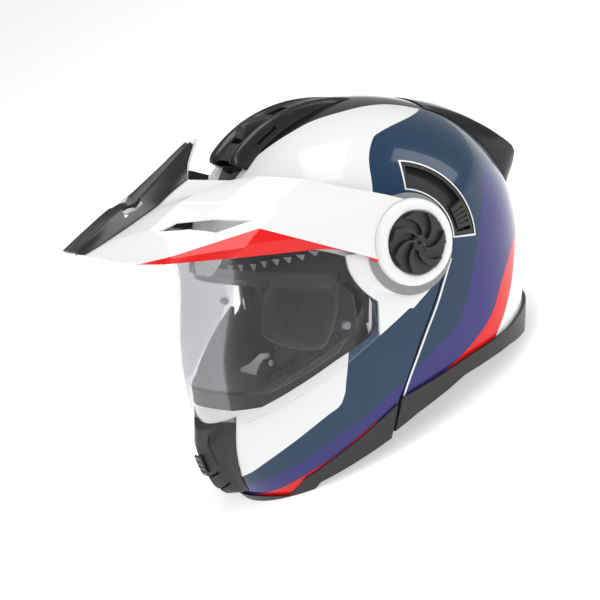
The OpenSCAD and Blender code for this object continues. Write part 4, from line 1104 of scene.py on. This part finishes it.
def cheek(side):
    """Cushion with two seams, puffed off the foam's inner face."""
    mesh = grid(48, 48)

    def at(u, v, lift):
        y, z = 16 + 33 * u + 10 * v, -70 + 34 * v - 8 * u
        return Vector((side * (half_width(y, z, -29.4) - lift), y, z))

    for vert in mesh.verts:
        u, v = vert.co.x, vert.co.y
        round_u, round_v = u * math.sqrt(1 - 0.28 * v * v), v * math.sqrt(1 - 0.28 * u * u)
        seam = max(channel(v - 0.38 - 0.25 * u, 0.06), channel(u + 0.52 - 0.2 * v, 0.06) * (v < 0.3))
        puff = 20 * math.sqrt((1 - u**4) * (1 - v**4))
        vert.co = (round_u, round_v, 6.5 + puff - 2.6 * seam * (puff > 8))
    for vert in extruded(mesh, mesh.faces[:]):
        vert.co.z = 0.2
    for vert in mesh.verts:
        vert.co = at(*vert.co)
    return outward(mesh)


for side, word in SIDES:
    pad = softened(cheek(side), 2.0, 2)
    piece(pad, f"cheek_cushion_{word}", "shell", lining, [f"cheek_pad_{word}"], 60)

roll = cut(egg(-12), [egg(-24.6), above(moved(TRIM_TOP, 0, 3.6)), below(moved(TRIM_LOW, 0, 4.4)),
                      prism([(-FAR, FAR), (-FAR, -FAR), (58.4, -FAR), (58.4, FAR)])])
softened(roll, 2.2, 4)
piece(roll, "neck_cushion", "shell", lining, ["neck_roll"], 60)

cover = cut(egg(-27.4), [
    egg(-30.4), prism([(-FAR, -19)] + moved(SHELL_FRONT, 10, 12) + [(-FAR, -FAR)]),
    below(moved(TRIM_TOP, 0, 6)),
    prism([(-FAR, FAR), (-FAR, -2), (-50, 4), (-20, 14), (60, 14), (110, -36), (FAR, -36), (FAR, FAR)])])
piece(cover, "trim_cloth", "shell", curtain_cloth)

# %% [markdown]
# The chin curtain is a sheet of stretch cloth from the chin trim back under the chin. The
# straps are webbing: their line is smoothed through the frame's points and walled to 2.2 mm.

# %% Curtain and straps
mesh = grid(48, 10)
for v in mesh.verts:
    x, back_share = v.co.x * 60, (v.co.y + 1) / 2
    front = on_skin(244, x, -11.5)
    sag = 1.6 * math.sin(math.pi * back_share) - 0.9
    v.co = front + Vector((0, 30, 9)) * back_share * (1 - (x / 80) ** 2) + Vector((0, 0, -sag))
area = sum(f.calc_area() for f in mesh.faces)
curtain = finished(outward(mesh), walled(1.1, 0.0))
cut(curtain, [table()])
piece(curtain, "chin_curtain_cloth", "chin_bar", curtain_cloth, ["chin_curtain"], 50)
print("curtain", round(area), "mm2")
area * 1e-6


STRAP_HALF = 12


def strap(side, word, end):
    """Band from its anchor beside the cheek, under the chin, to where the buckle holds it."""
    mesh = grid(48, 8)
    knots = [(91.1, -104), (90.1, -114), (81, -124), (62, -131), (end, -132)]
    xs, zs = ([(i / 4, p[axis]) for i, p in enumerate(knots)] for axis in (0, 1))
    for v in mesh.verts:
        share = (v.co.x + 1) / 2
        v.co = (side * through(xs, share), 6 + STRAP_HALF * v.co.y, through(zs, share))
    band = finished(outward(mesh), walled(2.2, 0.0), edges_rounded(0.6, 60, 3))
    piece(band, f"webbing_{word}", "shell", webbing, [f"strap_{word}"], 50)


for (side, word), end in zip(SIDES, (42.4, 28.4)):
    strap(side, word, end)

# %% [markdown]
# ## Seals and brow
# The port is framed in rubber: a brow seal above, and a seal along the chin bar's edge that the
# visor closes on. A row of small wedges on the brow band catches the light through the visor.

# %% Seals and brow wedges
brow = cut(egg(-4.1), [egg(-8.8), above(level(-23.5)), below(level(-36)), behind(-52)])
piece(brow, "brow_rubber", "shell", satin_black, ["brow_seal"])
low_rim = PORT_LOW[::-1]
seal = cut(egg(-0.8), [
    egg(-CHIN_WALL - 4), above([(-FAR, -122)] + moved(low_rim, 0, 12)),
    below([(-FAR, -141)] + moved(low_rim, 0, -6)),
    cut(egg(GAP), [egg(-CHIN_WALL - GAP), above([(-FAR, -135)] + moved(low_rim, 0, GAP))]), behind(-37)])
piece(seal, "port_rubber", "chin_bar", rubber, ["visor_seal"])
guard = cut(egg(-19.2), [egg(-21.2), above([(-FAR, -116), (-100, -116), (-84, -122), (FAR, -122)]),
                         below(level(-152)), behind(-70)])
piece(guard, "breath_shield", "chin_bar", rubber, ["breath_guard"])

WEDGES = [(35.6, -23.2), (46.3, -21.8), (56.8, -20.5), (64.9, -17.8), (73.3, -15.9), (80.8, -14.0),
          (88.1, -11.5), (94.8, -8.3)]


def wedge(x, z):
    """Small three-sided wedge that stands up to 1.8 mm off the skin, at x and height z."""
    angle = min((a / 4 for a in range(620, 760)), key=lambda a: abs(on_skin(a, x).z - z))
    plan = ((-1.1, -2.6, 0.2), (-1.1, 2.6, 1.8), (1.4, 1.2, 0.2))
    corners = [on_skin(angle + da, x + dx, lift) for da, dx, lift in plan]
    corners += [on_skin(angle + da, x + dx, -1) for da, dx, _ in plan]
    mesh = bmesh.new()
    bmesh.ops.convex_hull(mesh, input=[mesh.verts.new(c) for c in corners])
    return mesh


wedges = bmesh.new()
for x, z in WEDGES:
    for s, _ in SIDES:
        one = wedge(x, z)
        if s < 0:
            bmesh.ops.scale(one, vec=(-1, 1, 1), verts=one.verts)
            bmesh.ops.reverse_faces(one, faces=one.faces)
        held = bpy.data.meshes.new("wedge")
        one.to_mesh(held)
        wedges.from_mesh(held)
        bpy.data.meshes.remove(held)
piece(outward(wedges), "brow_wedges", "shell", grey_plastic, sharp=10)

# %% [markdown]
# ## Finish of what the frame already shapes well
# Turned parts, pins, buckle and hooks come from exact solids and keep their own meshes. They only need a
# finish. Each imported mesh's single material slot is simply given the new one.

# %% Finishes on the frame's own nodes
OWN_MESH = (
    (black_plastic, ("strap_ladder", "knob_left", "knob_right")),
    (bead_foam, ("crown_foam", "side_foam_left", "side_foam_right", "chin_foam")),
    (grey_plastic, ("pivot_base_left", "pivot_base_right", "chin_hinge_left", "chin_hinge_right",
                    "insert_pins")),
    (zinc_steel, ("sun_visor_pins", "latch_strikers", "strap_anchors", "buckle_body", "buckle_lever_pin",
                  "latch_hook_left", "latch_hook_right", "hook_pins")),
    (signal_red, ("buckle_lever", "release_button")),
    (white_paint, ("visor_hub_left", "visor_hub_right")))
for finish, names in OWN_MESH:
    for name in names:
        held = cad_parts[name].data
        held.materials.clear()
        held.materials.append(finish.material)
    print(finish.material.name, "on", *names)
